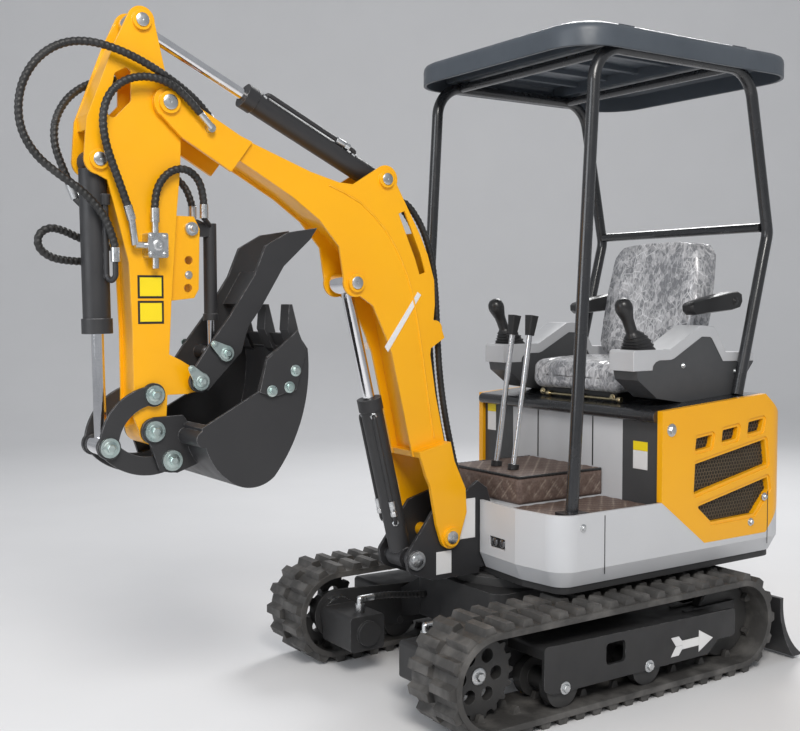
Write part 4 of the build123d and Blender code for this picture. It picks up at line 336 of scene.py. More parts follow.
def metal(name, colour, shade, roughness, streak=(40, 40, 400)):
    """Bare or plated metal with faint turning marks."""
    look = Look(name, colour, roughness, 1.0)
    look.round_edges(1.2)
    look.feed("Base Color", look.mix(look.span(look.noise(30.0), 0.35, 0.65, 0, 1), colour, shade))
    marks = look.noise(1.0, 3.0, look.stretched(streak))
    look.feed("Roughness", look.span(marks, 0.3, 0.7, roughness * 0.7, roughness * 1.4))
    look.bump(marks, 0.08, 0.2)
    return look.done()


def rubber(name, colour, dust, roughness):
    """Black rubber with a little grey bloom and moulding grain."""
    look = Look(name, colour, roughness)
    look.round_edges(3.0)
    bloom = look.span(look.noise(11.0, 6.0), 0.46, 0.72, 0, 0.55)
    look.feed("Base Color", look.mix(bloom, colour, dust))
    look.feed("Roughness", look.span(look.noise(60.0), 0.3, 0.7, roughness - 0.1, roughness + 0.1))
    look.bump(look.noise(260.0, 5.0), 0.35, 0.5)
    return look.done()


def film_over_vinyl():
    """Grey seat vinyl under a clear crumpled cover, whose small facets catch the light. The base colour
    paints that light in: painted highlight and shade facet by facet, and painted highlights along the folds.
    """
    look = Look("seat_vinyl_painted_glints", (0.30, 0.30, 0.315), 0.50)
    place = look.stretched((1.0, 1.2, 0.75))
    bend = look.noise(6.0, 3.0, place)
    broad = look.facets(46.0, place)
    fine = look.facets(115.0, place)
    both = look.math("ADD", look.math("MULTIPLY", broad, 0.55), look.math("MULTIPLY", fine, 0.45))
    light = look.math("ADD", both, look.math("MULTIPLY", look.math("SUBTRACT", bend, 0.5), 1.1))
    # Painted highlights: thin bright lines along the folds of the cover.
    fold_highlights = look.math("MAXIMUM", look.span(look.cells(13.0, place), 0.0, 0.022, 1, 0),
                      look.span(look.cells(31.0, place), 0.0, 0.045, 0.75, 0))
    lit_folds = look.math("MULTIPLY", fold_highlights, look.span(bend, 0.40, 0.56, 0.15, 1))
    # Painted highlight and shade: each facet lighter or darker, with the fold highlights laid over it.
    shade = look.mix(look.span(light, 0.22, 0.78, 0, 1), (0.19, 0.195, 0.21), (0.55, 0.55, 0.57))
    look.feed("Base Color", look.mix(lit_folds, shade, (0.86, 0.86, 0.88)))
    look.bump(look.noise(520.0, 3.0), 0.2, 0.3)
    crumple = {"Strength": 0.8, "Distance": 4.0 * MM, "Height": look.math("ADD", both, bend)}
    look.feed("Coat Normal", look.node("ShaderNodeBump", crumple).outputs["Normal"])
    look.set("Coat Weight", 1.0)
    look.set("Coat Roughness", 0.10)
    return look.done()


def quilted():
    """Brown mat with pale stitching along its seams."""
    look = Look("mat_brown", (0.085, 0.058, 0.047), 0.62)
    seam = look.node("ShaderNodeAttribute", {}, attribute_name="seam").outputs["Fac"]
    grain = look.span(look.noise(120.0, 5.0), 0.35, 0.65, 0, 1)
    base = look.mix(grain, (0.105, 0.070, 0.058), (0.150, 0.105, 0.088))
    stitch = look.math("MULTIPLY", seam, look.span(look.noise(300.0, 2.0), 0.36, 0.52, 0.25, 0.9))
    look.feed("Base Color", look.mix(stitch, base, (0.42, 0.35, 0.29)))
    look.bump(look.noise(420.0, 4.0), 0.35, 0.6)
    return look.done()


def lens_glass():
    look = Look("lamp_lens", (0.05, 0.05, 0.055), 0.08)
    look.feed("Roughness", look.span(look.cells(300.0), 0.0, 0.3, 0.04, 0.2))
    look.set("Coat Weight", 1.0)
    look.set("Coat Roughness", 0.03)
    look.bump(look.cells(160.0), 0.5, 1.0)
    return look.done()


# In the paint rows the fifth value is the lighter edge colour, partly wear and partly painted highlight.
M = {
    "yellow": paint("yellow_paint", (0.95, 0.45, 0.001), (0.92, 0.42, 0.001), 0.34, (0.97, 0.57, 0.05), 0.2),
    "black": paint("black_paint", (0.024, 0.024, 0.026), (0.030, 0.030, 0.032), 0.46, (0.30, 0.30, 0.31)),
    "frame": paint("frame_black", (0.020, 0.020, 0.021), (0.028, 0.028, 0.029), 0.50, (0.16, 0.16, 0.165)),
    "tube": paint("tube_black", (0.017, 0.018, 0.020), (0.021, 0.022, 0.025), 0.24, (0.10, 0.10, 0.11), 0.4),
    "pale": paint("pale_panel", (0.58, 0.59, 0.61), (0.55, 0.56, 0.58), 0.34, (0.70, 0.71, 0.73), 0.15),
    "charcoal": moulded("charcoal_panel", (0.050, 0.052, 0.056), (0.058, 0.060, 0.064), 0.50),
    "console": moulded("console_grey", (0.058, 0.060, 0.064), (0.066, 0.068, 0.072), 0.48),
    "trim": moulded("console_trim", (0.50, 0.51, 0.53), (0.46, 0.47, 0.49), 0.40),
    "knob": moulded("knob_black", (0.014, 0.014, 0.015), (0.020, 0.020, 0.021), 0.36),
    "roof": moulded("roof_plastic", (0.060, 0.072, 0.088), (0.072, 0.085, 0.102), 0.38, 6.0),
    "rubber": rubber("track_rubber", (0.052, 0.050, 0.048), (0.200, 0.192, 0.182), 0.60),
    "hose": rubber("hose_rubber", (0.014, 0.014, 0.014), (0.045, 0.045, 0.046), 0.48),
    "cast": paint("cast_steel", (0.030, 0.030, 0.031), (0.045, 0.044, 0.043), 0.56, (0.20, 0.20, 0.20),
                  peel=0.5),
    "chrome": metal("chrome_rod", (0.82, 0.82, 0.84), (0.76, 0.76, 0.78), 0.09),
    "zinc": metal("zinc", (0.64, 0.65, 0.66), (0.58, 0.60, 0.61), 0.30, (60, 60, 60)),
    "lever": metal("lever_chrome", (0.80, 0.80, 0.81), (0.76, 0.76, 0.77), 0.20, (3, 3, 3)),
    "teal": metal("zinc_passivated", (0.46, 0.58, 0.56), (0.54, 0.62, 0.60), 0.32, (60, 60, 60)),
    "brass": metal("zinc_yellow", (0.68, 0.58, 0.36), (0.60, 0.52, 0.34), 0.30),
    "engine": metal("engine_block", (0.24, 0.24, 0.24), (0.16, 0.16, 0.16), 0.55),
    "mesh": paint("mesh_black", (0.020, 0.018, 0.015), (0.032, 0.026, 0.018), 0.55, (0.07, 0.06, 0.05)),
    "plate_white": moulded("plate_white", (0.80, 0.80, 0.80), (0.74, 0.74, 0.75), 0.38, grain_strength=0.05),
    "plate_yellow": moulded("plate_yellow", (0.93, 0.72, 0.01), (0.90, 0.68, 0.01), 0.38,
                            grain_strength=0.05),
    "seat": film_over_vinyl(),
    "quilt": quilted(),
    "lens": lens_glass(),
    "bronze": paint("vent_bronze", (0.115, 0.085, 0.050), (0.080, 0.060, 0.038), 0.42, (0.24, 0.19, 0.13),
                    edge_radius=0.6),
}

NODE_LOOKS = {
    "yellow": ("boom", "dipper", "engine_cover_left", "engine_cover_right"),
    "black": ("boom_bracket", "blade", "blade_barrel", "lift_barrel", "arm_barrel", "bucket_barrel",
              "thumb_barrel", "thumb", "bucket", "guide_link", "bucket_link"),
    "frame": ("lower_frame", "track_frame_left", "track_frame_right", "travel_motors", "house_frame"),
    "tube": ("canopy_hoop_left", "canopy_hoop_right", "canopy_crossbars", "top_deck"),
    "pale": ("skirt", "seat_box_panel", "floor_deck"),
    "charcoal": ("seat_box_corners",),
    "console": ("consoles",),
    "knob": ("armrests", "joysticks", "seat_frame", "seat_cushion", "seat_back"),
    "roof": ("canopy_roof",),
    "rubber": ("track_left", "track_right", "platform_mat", "footwell_mats"),
    "cast": ("sprockets", "idlers", "track_rollers", "slew_ring", "counterweight"),
    "chrome": ("blade_rod", "lift_rod", "arm_rod", "bucket_rod", "thumb_rod"),
    "zinc": ("valve_block",),
    "lever": ("travel_levers",),
    "engine": ("engine",),
    "mesh": ("vent_mesh",),
    "hose": ("arm_hose_outer", "arm_hose_inner", "arm_hose_far", "bucket_hose", "thumb_hoses", "boom_hoses",
             "motor_hoses"),
}


def dress_nodes():
    for look, names in NODE_LOOKS.items():
        for name in names:
            NODES[name].data.materials.clear()
            NODES[name].data.materials.append(M[look])


def paint_faces(name, look, test):
    """Give the faces of a node that pass a test of their middle another look."""
    mesh = NODES[name].data
    mesh.materials.append(M[look])
    index = len(mesh.materials) - 1
    for face in mesh.polygons:
        if test(face.center):
            face.material_index = index


# Hoses: each runs on the smooth line of its route

HOSE = 11.0
MOTOR_HOSE = 12.0
WRAP_PITCH = 15.0
WRAP_DEPTH = 0.8
HOSE_SIDES = 14
ROUTE_STEPS = 32
ARM_HOSE_OUTER = [(1228, 46, 1868), (1258, 56, 1894), (1312, 72, 1928), (1376, 86, 1960), (1446, 92, 1992),
                  (1520, 90, 2018), (1598, 82, 2032), (1668, 72, 2020), (1728, 62, 1978), (1768, 54, 1914),
                  (1782, 50, 1840), (1772, 50, 1772), (1734, 52, 1712), (1680, 56, 1670), (1622, 61, 1632),
                  (1572, 66, 1584), (1540, 70, 1528), (1527, 72, 1472)]
ARM_HOSE_INNER = [(1276, 96, 1862), (1318, 97, 1906), (1370, 98, 1940), (1432, 98, 1952), (1496, 98, 1938),
                  (1544, 97, 1898), (1566, 95, 1838), (1560, 92, 1770), (1538, 89, 1704), (1512, 86, 1640),
                  (1494, 84, 1590)]
ARM_HOSE_FAR = [(1228, -46, 1868), (1260, -57, 1896), (1314, -73, 1930), (1382, -85, 1960), (1460, -86, 1970),
                (1538, -78, 1950), (1606, -65, 1904), (1648, -54, 1840), (1657, -48, 1772), (1638, -46, 1708),
                (1614, -46, 1654)]
BUCKET_HOSE = [(1484, -72, 1478), (1532, -71, 1487), (1584, -65, 1503), (1632, -54, 1523), (1676, -44, 1530),
               (1708, -40, 1508), (1708, -42, 1472), (1674, -48, 1446), (1626, -56, 1437), (1580, -62, 1436)]
THUMB_HOSE = [(1412, 80, 1586), (1410, 80, 1622), (1396, 80, 1660), (1368, 79, 1690), (1332, 76, 1704),
              (1296, 68, 1698), (1266, 58, 1674), (1250, 48, 1640), (1244, 42, 1606)]
BOOM_HOSE = [(556, 24, 1640), (530, 24, 1656), (490, 24, 1634), (440, 24, 1566), (402, 24, 1470),
             (386, 24, 1350), (380, 24, 1210), (370, 24, 1070), (350, 24, 940), (322, 24, 820),
             (296, 24, 720), (272, 24, 640), (257, 24, 583)]
MOTOR_ROUTE = [(500, 200, 268), (452, 198, 268), (396, 192, 262), (340, 182, 256), (290.3, 172, 254)]
# Hoses past two joints: node, route, height of the split, then start and end of each part's bend
SPLIT_HOSES = [
    ("arm_hose_outer", ARM_HOSE_OUTER, 1750,
     (1240, 0, 1880), (1560, 0, 1700), (1755, 0, 1740), (1540, 0, 1530)),
    ("arm_hose_far", ARM_HOSE_FAR, 1820,
     (1240, 0, 1880), (1560, 0, 1760), (1650, 0, 1810), (1620, 0, 1670)),
]


def flipped(route):
    return [(x, -y, z) for x, y, z in route]


def smooth_line(route):
    """Points along the NURBS line that a route controls."""
    data = bpy.data.curves.new("route", "CURVE")
    data.dimensions = "3D"
    spline = data.splines.new("NURBS")
    spline.points.add(len(route) - 1)
    for point, place in zip(spline.points, route):
        point.co = (*at(*place), 1)
    spline.order_u = 3
    spline.use_endpoint_u = True
    spline.resolution_u = ROUTE_STEPS
    holder = new_object("route", data)
    bpy.context.view_layer.update()
    line = bpy.data.meshes.new_from_object(holder)
    points = [vertex.co.copy() for vertex in line.vertices]
    bpy.data.meshes.remove(line)
    bpy.data.objects.remove(holder)
    bpy.data.curves.remove(data)
    return points


def wrapped_tube(path, radius):
    """Points and faces of a tube in spiral wrap."""
    points = []
    across = axes_for(path[1] - path[0])[1]
    gone = 0.0
    for index, place in enumerate(path):
        ahead = path[min(index + 1, len(path) - 1)]
        behind = path[max(index - 1, 0)]
        along = (ahead - behind).normalized()
        across = (across - along * across.dot(along)).normalized()
        gone += (place - behind).length / MM
        for step, spoke in enumerate(around(across, along.cross(across), HOSE_SIDES)):
            ridge = math.cos(math.tau * gone / WRAP_PITCH - math.tau * step / HOSE_SIDES)
            reach = (radius + WRAP_DEPTH * ridge) * MM
            points.append(place + spoke * reach)
    return points, skin(HOSE_SIDES, len(path))


def make_hose(name, node, path, radius, bodies):
    """A wrapped hose that stands for a node, on one body or running between two."""
    made = mesh_object(name, *wrapped_tube(path, radius), M["hose"])
    if len(bodies) == 2:
        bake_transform(made)
    else:
        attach(made, bodies[0])
    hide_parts(node)


def split_at(path, height):
    """Index of the first point past the top of a loop that is below a height."""
    top = max(range(len(path)), key=lambda index: path[index].z)
    return next(index for index in range(top, len(path)) if path[index].z < height * MM)


def make_hoses():
    for node, route, height, loop_start, loop_end, end_start, end_end in SPLIT_HOSES:
        path = smooth_line(route)
        cut = split_at(path, height)
        make_hose(node + "_loop", node, path[:cut + 1], HOSE, ("boom", "dipper"))
        make_hose(node + "_end", node, path[cut:], HOSE, ("dipper", "bucket_barrel"))
    make_hose("arm_hose_valve", "arm_hose_inner", smooth_line(ARM_HOSE_INNER), HOSE, ("boom", "dipper"))
    make_hose("bucket_ram_hose", "bucket_hose", smooth_line(BUCKET_HOSE), HOSE, ("dipper", "bucket_barrel"))
    for side, turn in (("left", list), ("right", flipped)):
        make_hose("thumb_hose_" + side, "thumb_hoses", smooth_line(turn(THUMB_HOSE)), HOSE,
                  ("dipper", "thumb_barrel"))
        make_hose("boom_hose_" + side, "boom_hoses", smooth_line(turn(BOOM_HOSE)), HOSE, ("house", "boom"))
        make_hose("motor_hose_" + side, "motor_hoses", smooth_line(turn(MOTOR_ROUTE)), MOTOR_HOSE,
                  ("undercarriage",))


# Fasteners: profiles hold shares of the size across and of the height.
# The washer's heights are in millimetres.

WASHER_HEIGHT = 2.2
WASHER = [(0.86, 0), (0.86, 1.6), (0.80, WASHER_HEIGHT)]
HEXAGON = [(0.56, 0), (0.56, 0.8), (0.47, 1)]
PIN_END = [(1, 0), (1, 0.7), (0.88, 1), (0.13, 1), (0.10, 0.7), (0.02, 0.6)]


def scaled(profile, radius, height):
    return [(radius * share, height * rise) for share, rise in profile]


def bolt(batch, place, direction, across, height):
    """Hexagon head with a chamfer on a round washer."""
    lathe(batch, place, direction, scaled(WASHER, across, 1), 24)
    lathe(batch, place + direction * WASHER_HEIGHT * MM, direction, scaled(HEXAGON, across, height), 6)


def cap(batch, place, direction, radius, height):
    """Turned pin end: flat chamfered disc with a small centre hole."""
    lathe(batch, place, direction, scaled(PIN_END, radius, height), 40)


# Pins: X and Z, outer Y and radius of the pin's head, body, look, form of the end
PINS = [
    ((382, 522), 115, 32, "boom", "zinc", cap), ((1363, 1888), 87, 32, "boom", "zinc", cap),
    ((615, 1715), 75, 28, "boom", "zinc", cap), ((732, 1379), 75, 30, "boom", "zinc", cap),
    ((1564, 1716), 67, 28, "dipper", "zinc", cap), ((1435, 2113), 67, 28, "dipper", "zinc", cap),
    ((1418, 1053), 80.3, 28, "dipper", "teal", bolt), ((1281, 1534), 40, 20, "dipper", "zinc", bolt),
    ((1287, 1088), 106.3, 26, "dipper", "teal", bolt), ((1207, 1168), 106, 22, "thumb", "teal", bolt),
    ((1419, 948), 80, 30, "bucket", "teal", bolt), ((1367, 860), 80, 30, "bucket", "teal", bolt),
    ((1553, 910), 80, 28, "guide_link", "teal", bolt), ((513, 455), 97, 32, "house", "zinc", cap),
]
# Size as a share of the head's radius, and height, of each form
END_SIZES = {cap: (0.68, 5.0), bolt: (0.80, 11.0)}
PIN_INNER = 10.5
# Node with a body's pins, where it has another name
BODY_NODE = {"house": "boom_bracket"}


def make_pins():
    batches = {}
    for (x, z), outer, radius, body, look, form in PINS:
        batch = batches.setdefault((body, look), Batch())
        share, height = END_SIZES[form]
        for turn in BOTH:
            form(batch, at(x, turn * outer, z), LEFT * turn, radius * share, height)
        if form is cap and body != "house":
            continue
        centre = at(x, 0, z)
        low = (outer - PIN_INNER) * MM
        reach = (radius + 1) * MM
        paint_faces(BODY_NODE.get(body, body), look, lambda middle: abs(middle.y) > low
                    and math.hypot(middle.x - centre.x, middle.z - centre.z) < reach)
    for (body, look), batch in batches.items():
        batch.build("pins_" + body + "_" + look, look, body, "zinc")


# Bolts on both sides: place, size across, height
BODY_BOLTS = {
    ("house", "zinc"): [((-260, 500, 880), 26, 9), ((-754, 500, 603), 17, 8), ((-679, 500, 518), 17, 8),
                        ((147, 500, 591), 15, 7)],
    ("bucket", "teal"): [((1111, 210, 1059), 20, 9), ((1054, 210, 1068), 20, 9), ((1033, 210, 1116), 20, 9)],
    ("undercarriage", "zinc"): [((270, 555, 108), 24, 10), ((-105, 555, 108), 24, 10)],
    ("dipper", "zinc"): [((1290, 30, 1399), 14, 6)],
}


def make_bolts():
    for (body, look), rows in BODY_BOLTS.items():
        batch = Batch()
        for (x, y, z), across, height in rows:
            for turn in BOTH:
                bolt(batch, at(x, turn * y, z), LEFT * turn, across, height)
        batch.build("bolts_" + body, look, body, "zinc")


WHEELS = {"sprockets": 555, "idlers": -555}
AXLE_Z = 178
HUB = [(27, -2), (27, 3), (24, 5), (18, 5), (17, 3)]
HUB_FLOOR = 3
HUB_BOLT = (26, 12)


def make_track_hubs():
    """Hub caps, each with a bolt, on sprockets and idlers."""
    hubs = Batch()
    for turn in BOTH:
        out = LEFT * turn
        for node, x in WHEELS.items():
            low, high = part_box(node)
            centre = at(x, 0, AXLE_Z) + LEFT * (high.y if turn > 0 else low.y)
            lathe(hubs, centre, out, HUB, 40)
            bolt(hubs, centre + out * HUB_FLOOR * MM, out, *HUB_BOLT)
    hubs.build("track_hub_bolts", "zinc", "undercarriage", "zinc")


# Blank plates, stripes, and dark strips of painted shade at the seams

def rectangle(low, high):
    return [low, (high[0], low[1]), high, (low[0], high[1])]


def on_sides(y, *outlines):
    """Rows of corners and facing for outlines in X and Z, on both sides at y."""
    return [([(x, turn * y, z) for x, z in outline], LEFT * turn) for outline in outlines for turn in BOTH]


def on_front(front, *outlines):
    """Rows of corners and facing for outlines in Y and Z, at one X."""
    return [([(front, y, z) for y, z in outline], FRONT) for outline in outlines]


TRACK_SIDE = 555
BOOM_SIDE = 65
DIPPER_SIDE = 57
FRAME_PROUD = 1.2
BRACKET_SIDE = 87
COVER_SIDE = 500
PANEL_X = -229.5
ARROW_HEAD = [(-346, 113), (-418, 151), (-346, 189)]
ARROW_SHAFT = rectangle((-346, 136), (-262, 166))
ARROW_TAIL = [[(-262, 151), (-262, 151 + 15 * half), (-246, 151 + 33 * half), (-208, 151 + 33 * half),
               (-232, 151)] for half in BOTH]
STRIPE = [(490, 1351), (476, 1341), (609, 1154), (622, 1171)]
PLATE_LOWS = (1257, 1330)
PLATE_FRAMES = [rectangle((1380, low), (1458, low + 66)) for low in PLATE_LOWS]
PLATE_FIELDS = [rectangle((1386, low + 6), (1452, low + 60)) for low in PLATE_LOWS]
BRACKET_PLATES = [rectangle((264, 504), (330, 642)), rectangle((366, 394), (430, 472))]
CORNER_WHITE = [rectangle((352, 735), (420, 800)), rectangle((-459, 796), (-407, 872))]
CORNER_YELLOW = [rectangle((352, 800), (420, 832)), rectangle((-459, 872), (-407, 907))]
# Dark strips, a little proud of the panels, paint the shade inside the recessed seams of the skirt and the
# seat box.
SKIRT_SEAM_SHADE = [rectangle((x - 2, 428), (x + 2, 622)) for x in (50, -774)]
BOX_SEAM_SHADE = [rectangle((y - 3, 720), (y + 3, 925)) for y in (-150, 150)]
# Flat pieces: name, look, body, rows of corners and facing, slot, thickness
PLATES = [
    ("travel_arrow_head", "plate_white", "undercarriage",
     on_sides(TRACK_SIDE, ARROW_HEAD), "pale_panel", 1.2),
    ("travel_arrow_shaft", "plate_white", "undercarriage",
     on_sides(TRACK_SIDE, ARROW_SHAFT), "pale_panel", 1.2),
    ("travel_arrow_tail", "plate_white", "undercarriage",
     on_sides(TRACK_SIDE, *ARROW_TAIL), "pale_panel", 1.2),
    ("boom_stripe", "plate_white", "boom", on_sides(BOOM_SIDE, STRIPE), "pale_panel", 1.2),
    ("dipper_plate_frames", "knob", "dipper", on_sides(DIPPER_SIDE, *PLATE_FRAMES), "yellow_paint", 1.2),
    ("dipper_plates", "plate_yellow", "dipper", on_sides(DIPPER_SIDE + FRAME_PROUD, *PLATE_FIELDS),
     "yellow_paint", 0.8),
    ("corner_plates_white", "plate_white", "house", on_front(PANEL_X, *CORNER_WHITE), "pale_panel", 1.2),
    ("corner_plates_yellow", "plate_yellow", "house", on_front(PANEL_X, *CORNER_YELLOW), "yellow_paint", 1.2),
    ("bracket_plates", "plate_white", "house", on_sides(BRACKET_SIDE, *BRACKET_PLATES), "pale_panel", 1.2),
    # Painted shade: dark strips where the seams are recessed.
    ("skirt_seam_shade", "knob", "house", on_sides(COVER_SIDE, *SKIRT_SEAM_SHADE), "black_paint", 0.4),
    ("seat_box_seam_shade", "knob", "house", on_front(PANEL_X, *BOX_SEAM_SHADE), "black_paint", 0.6),
]
PLATE_BEVEL = 0.5


def sheet_on(name, look, body, rows, slot, thickness):
    """Flat pieces of one look on a body: rows of corners and the way they face."""
    batch = Batch()
    for corners, direction in rows:
        slab(batch, corners, direction, thickness, PLATE_BEVEL)
    batch.build(name, look, body, slot)


def make_plates():
    for row in PLATES:
        sheet_on(*row)


# Weld beads along a line on a plate

BEAD = 3.5
BEAD_STEP = 6
BEAD_SWELL = 0.12
BOOM_WELD = [(828, 1684), (770, 1663), (710, 1634), (660, 1594), (617, 1551), (582, 1503), (554, 1452),
             (536, 1415), (522, 1377), (509, 1334), (498, 1288), (487, 1234), (477, 1178), (468, 1124),
             (455, 1040), (440, 950), (424, 860)]


def bead(batch, points, radius, sides=8):
    """Rippled bead along points in the row frame."""
    for index, (start, end) in enumerate(zip(points, points[1:])):
        run = end - start
        count = max(2, int(run.length / (BEAD_STEP * MM)))
        profile = []
        for step in range(count + 1):
            swell = 1 + BEAD_SWELL * math.sin(step * 2.2 + index)
            profile.append((radius * swell, run.length / MM * step / count))
        lathe(batch, start, run, profile, sides)


def make_welds():
    batch = Batch()
    for turn in BOTH:
        bead(batch, [at(x, turn * BOOM_SIDE, z) for x, z in BOOM_WELD], BEAD)
    batch.build("boom_weld", "yellow", "boom", "yellow_paint")


# Seat

PAD_ROUND = 34
PAD_CUTS = 44
CRINKLE = 2.2
CUSHION_LOW = (-680, -230, 985)
CUSHION_HIGH = (-264, 230, 1098)
CUSHION_CROWN = 14
CUSHION_FALL = 8
CUSHION_NOSE = 6
CHANNEL = 6
CHANNEL_PLACE = 0.62
CHANNEL_WIDTH = 0.03
# Seat's back: height, front X and rear X
BACK_LINE = [(1108, -648, -703), (1230, -668, -737), (1318, -682, -763), (1530, -716, -814),
             (1548, -730, -812)]
BACK_LOW = 1106
BACK_HIGH = 1548
BACK_HALF = 246
BACK_CORNER = 60
BACK_TAPER = 0.15
BACK_DROP = 26
BACK_EDGE = 0.45
BACK_BULGE = 5
BACK_SET = 4
BOLSTER = 10
BOLSTER_PLACE = 0.78
BOLSTER_WIDTH = 0.16
RAIL_FOOT = (-290, -165, 962)
RAIL = [(5, 0), (5, 390)]
COLLAR = [(10, 0), (11, 3), (11, 15), (9, 18)]
COLLAR_PLACES = (-165, 20, 215)
RAIL_BOLT = (15, 7)


def soft_grid():
    """Cube of two units with a fine grid on each face."""
    form = bmesh.new()
    bmesh.ops.create_cube(form, size=2)
    bmesh.ops.subdivide_edges(form, edges=form.edges[:], cuts=PAD_CUTS, use_grid_fill=True)
    return form


def rounded(point, half, radius):
    """A point of the unit cube's skin, moved to a box of half sizes with round edges."""
    place = point * half
    core = Vector([max(-(h - radius), min(h - radius, p)) for p, h in zip(place, half)])
    out = place - core
    return core + out.normalized() * radius if out.length > 0 else place


def crinkle(place, normal):
    """Small ridges of the clear cover over a pad."""
    value = noise.fractal(place * 9.0, 0.8, 2.1, 4)
    ridge = 1 - abs(noise.noise(place * 15.0)) * 3.0
    return normal * ((0.6 * value + 0.4 * max(ridge, 0)) * CRINKLE * MM)


def finish_pad(name, form, node):
    form.normal_update()
    for vertex in form.verts:
        vertex.co += crinkle(vertex.co, vertex.normal)
    mesh = bpy.data.meshes.new(name)
    form.to_mesh(mesh)
    form.free()
    mesh.materials.append(M["seat"])
    mesh.shade_smooth()
    made = new_object(name, mesh)
    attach(made, "house")
    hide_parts(node)


def make_cushion():
    low = at(*CUSHION_LOW)
    high = at(*CUSHION_HIGH)
    form = soft_grid()
    for vertex in form.verts:
        unit = vertex.co.copy()
        place = rounded(unit, (high - low) / 2, PAD_ROUND * MM)
        swell = (1 - unit.x ** 2) * (1 - unit.y ** 4)
        if unit.z > 0:
            place.z += CUSHION_CROWN * MM * swell - CUSHION_FALL * MM * (1 - swell)
            channel = math.exp(-((abs(unit.y) - CHANNEL_PLACE) / CHANNEL_WIDTH) ** 2)
            place.z -= CHANNEL * MM * channel * (1 - unit.x ** 8)
        if unit.x > 0.9:
            place.x += CUSHION_NOSE * MM * (1 - unit.y ** 2)
        vertex.co = (low + high) / 2 + place
    finish_pad("seat_cushion_pad", form, "seat_cushion")


def back_depth(height):
    """Front and rear X of the seat's back at a height."""
    for (low, low_front, low_rear), (high, high_front, high_rear) in zip(BACK_LINE, BACK_LINE[1:]):
        if height <= high:
            share = max(0, (height - low) / (high - low))
            return low_front + share * (high_front - low_front), low_rear + share * (high_rear - low_rear)
    return BACK_LINE[-1][1:]


def make_back():
    form = soft_grid()
    half = Vector((1.0, BACK_HALF * MM, (BACK_HIGH - BACK_LOW) / 2 * MM))
    for vertex in form.verts:
        unit = vertex.co.copy()
        flat_place = rounded(Vector((0, unit.y, unit.z)), half, BACK_CORNER * MM)
        rise = flat_place.z / half.z
        width = flat_place.y * (1 - BACK_TAPER * ((rise + 1) / 2) ** 2)
        drop = BACK_DROP * MM * max(rise, 0) ** 3 * abs(unit.y) ** 4
        height = (BACK_LOW + BACK_HIGH) / 2 + flat_place.z / MM - drop / MM
        front, rear = back_depth(height)
        edge = max(abs(unit.y), abs(unit.z)) ** 10
        depth = (front - rear) / 2 * (1 - BACK_EDGE * edge)
        ahead = max(unit.x, 0)
        bulge = BACK_BULGE * (1 - unit.y ** 2) * (1 - unit.z ** 2) * ahead
        ridge = math.exp(-((abs(unit.y) - BOLSTER_PLACE) / BOLSTER_WIDTH) ** 2)
        bolster = BOLSTER * ridge * ahead * (1 - edge)
        x = (front + rear) / 2 + unit.x * depth + bulge + bolster - BACK_SET
        vertex.co = at(x, 0, height) + LEFT * width
    finish_pad("seat_back_pad", form, "seat_back")


def make_seat():
    make_cushion()
    make_back()
    fittings = Batch()
    lathe(fittings, at(*RAIL_FOOT), LEFT, RAIL, 20)
    x, _, z = RAIL_FOOT
    for y in COLLAR_PLACES:
        lathe(fittings, at(x, y, z), LEFT, COLLAR, 24)
        bolt(fittings, at(x - 4, y - 30, z + 6), FRONT, *RAIL_BOLT)
    fittings.build("seat_fittings", "brass", "house", "zinc")


# Quilted mats

QUILT = 58.0
QUILT_RISE = 3.2
QUILT_BASE = 4.5
QUILT_STEP = 7.0
QUILT_RIM = 9.0
MAT_REAR = -230
PLATFORM_FRONT = 157
PLATFORM_HALF = 195
PLATFORM_TOP = 712
FLOOR_TOP = 612
RISER_LOW = FLOOR_TOP + 10
RISER = 88
WELL_INNER = 199
WELL_OUTER = 469
WELL_CORNER = 46
WELL_FRONT = 208
WELL_CREASE = 300
WELL_BULGE = 22
WELL_FLANK = 170
EDGING = 5


def quilt(batch, corner, along, reach, across, width, normal):
    """Padded skin with diamond seams. Reach gives its length at each place across."""
    rows = max(2, int(width / QUILT_STEP))
    longest = max(reach(width * row / rows) for row in range(rows + 1))
    columns = max(2, int(longest / QUILT_STEP))
    points = []
    for row in range(rows + 1):
        v = width * row / rows
        for column in range(columns + 1):
            u = reach(v) * column / columns
            pillow = abs(math.sin(math.pi * (u + v) / QUILT) * math.sin(math.pi * (u - v) / QUILT)) ** 0.45
            border = min(u, reach(v) - u, v, width - v) / QUILT_RIM
            height = QUILT_BASE + QUILT_RISE * pillow * min(1, border)
            height *= min(1, 0.25 + border)
            points.append(corner + (along * u + across * v + normal * height) * MM)
            batch.values.append(max(0.0, 1 - 2.2 * pillow) if border > 0.9 else 0.0)
    count = columns + 1
    base = len(points)
    rim = ([(0, c) for c in range(count)] + [(r, columns) for r in range(1, rows + 1)]
           + [(rows, c) for c in reversed(range(columns))] + [(r, 0) for r in reversed(range(1, rows))])
    for row, column in rim:
        v = width * row / rows
        u = reach(v) * column / columns
        points.append(corner + (along * u + across * v) * MM)
        batch.values.append(0.0)
    faces = []
    for row in range(rows):
        for column in range(columns):
            start = row * count + column
            faces.append([start, start + 1, start + count + 1, start + count])
    for index, (row, column) in enumerate(rim):
        following = (index + 1) % len(rim)
        next_row, next_column = rim[following]
        faces.append([row * count + column, base + index, base + following, next_row * count + next_column])
    faces.append([base + index for index in reversed(range(len(rim)))])
    if along.cross(across).dot(normal) < 0:
        faces = [list(reversed(face)) for face in faces]
    batch.add(points, faces)


def finish_quilt(batch, name, node):
    made = batch.build(name, "quilt", "house", "mat_brown", 80)
    seams = made.data.attributes.new("seam", "FLOAT", "POINT")
    seams.data.foreach_set("value", batch.values)
    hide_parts(node)


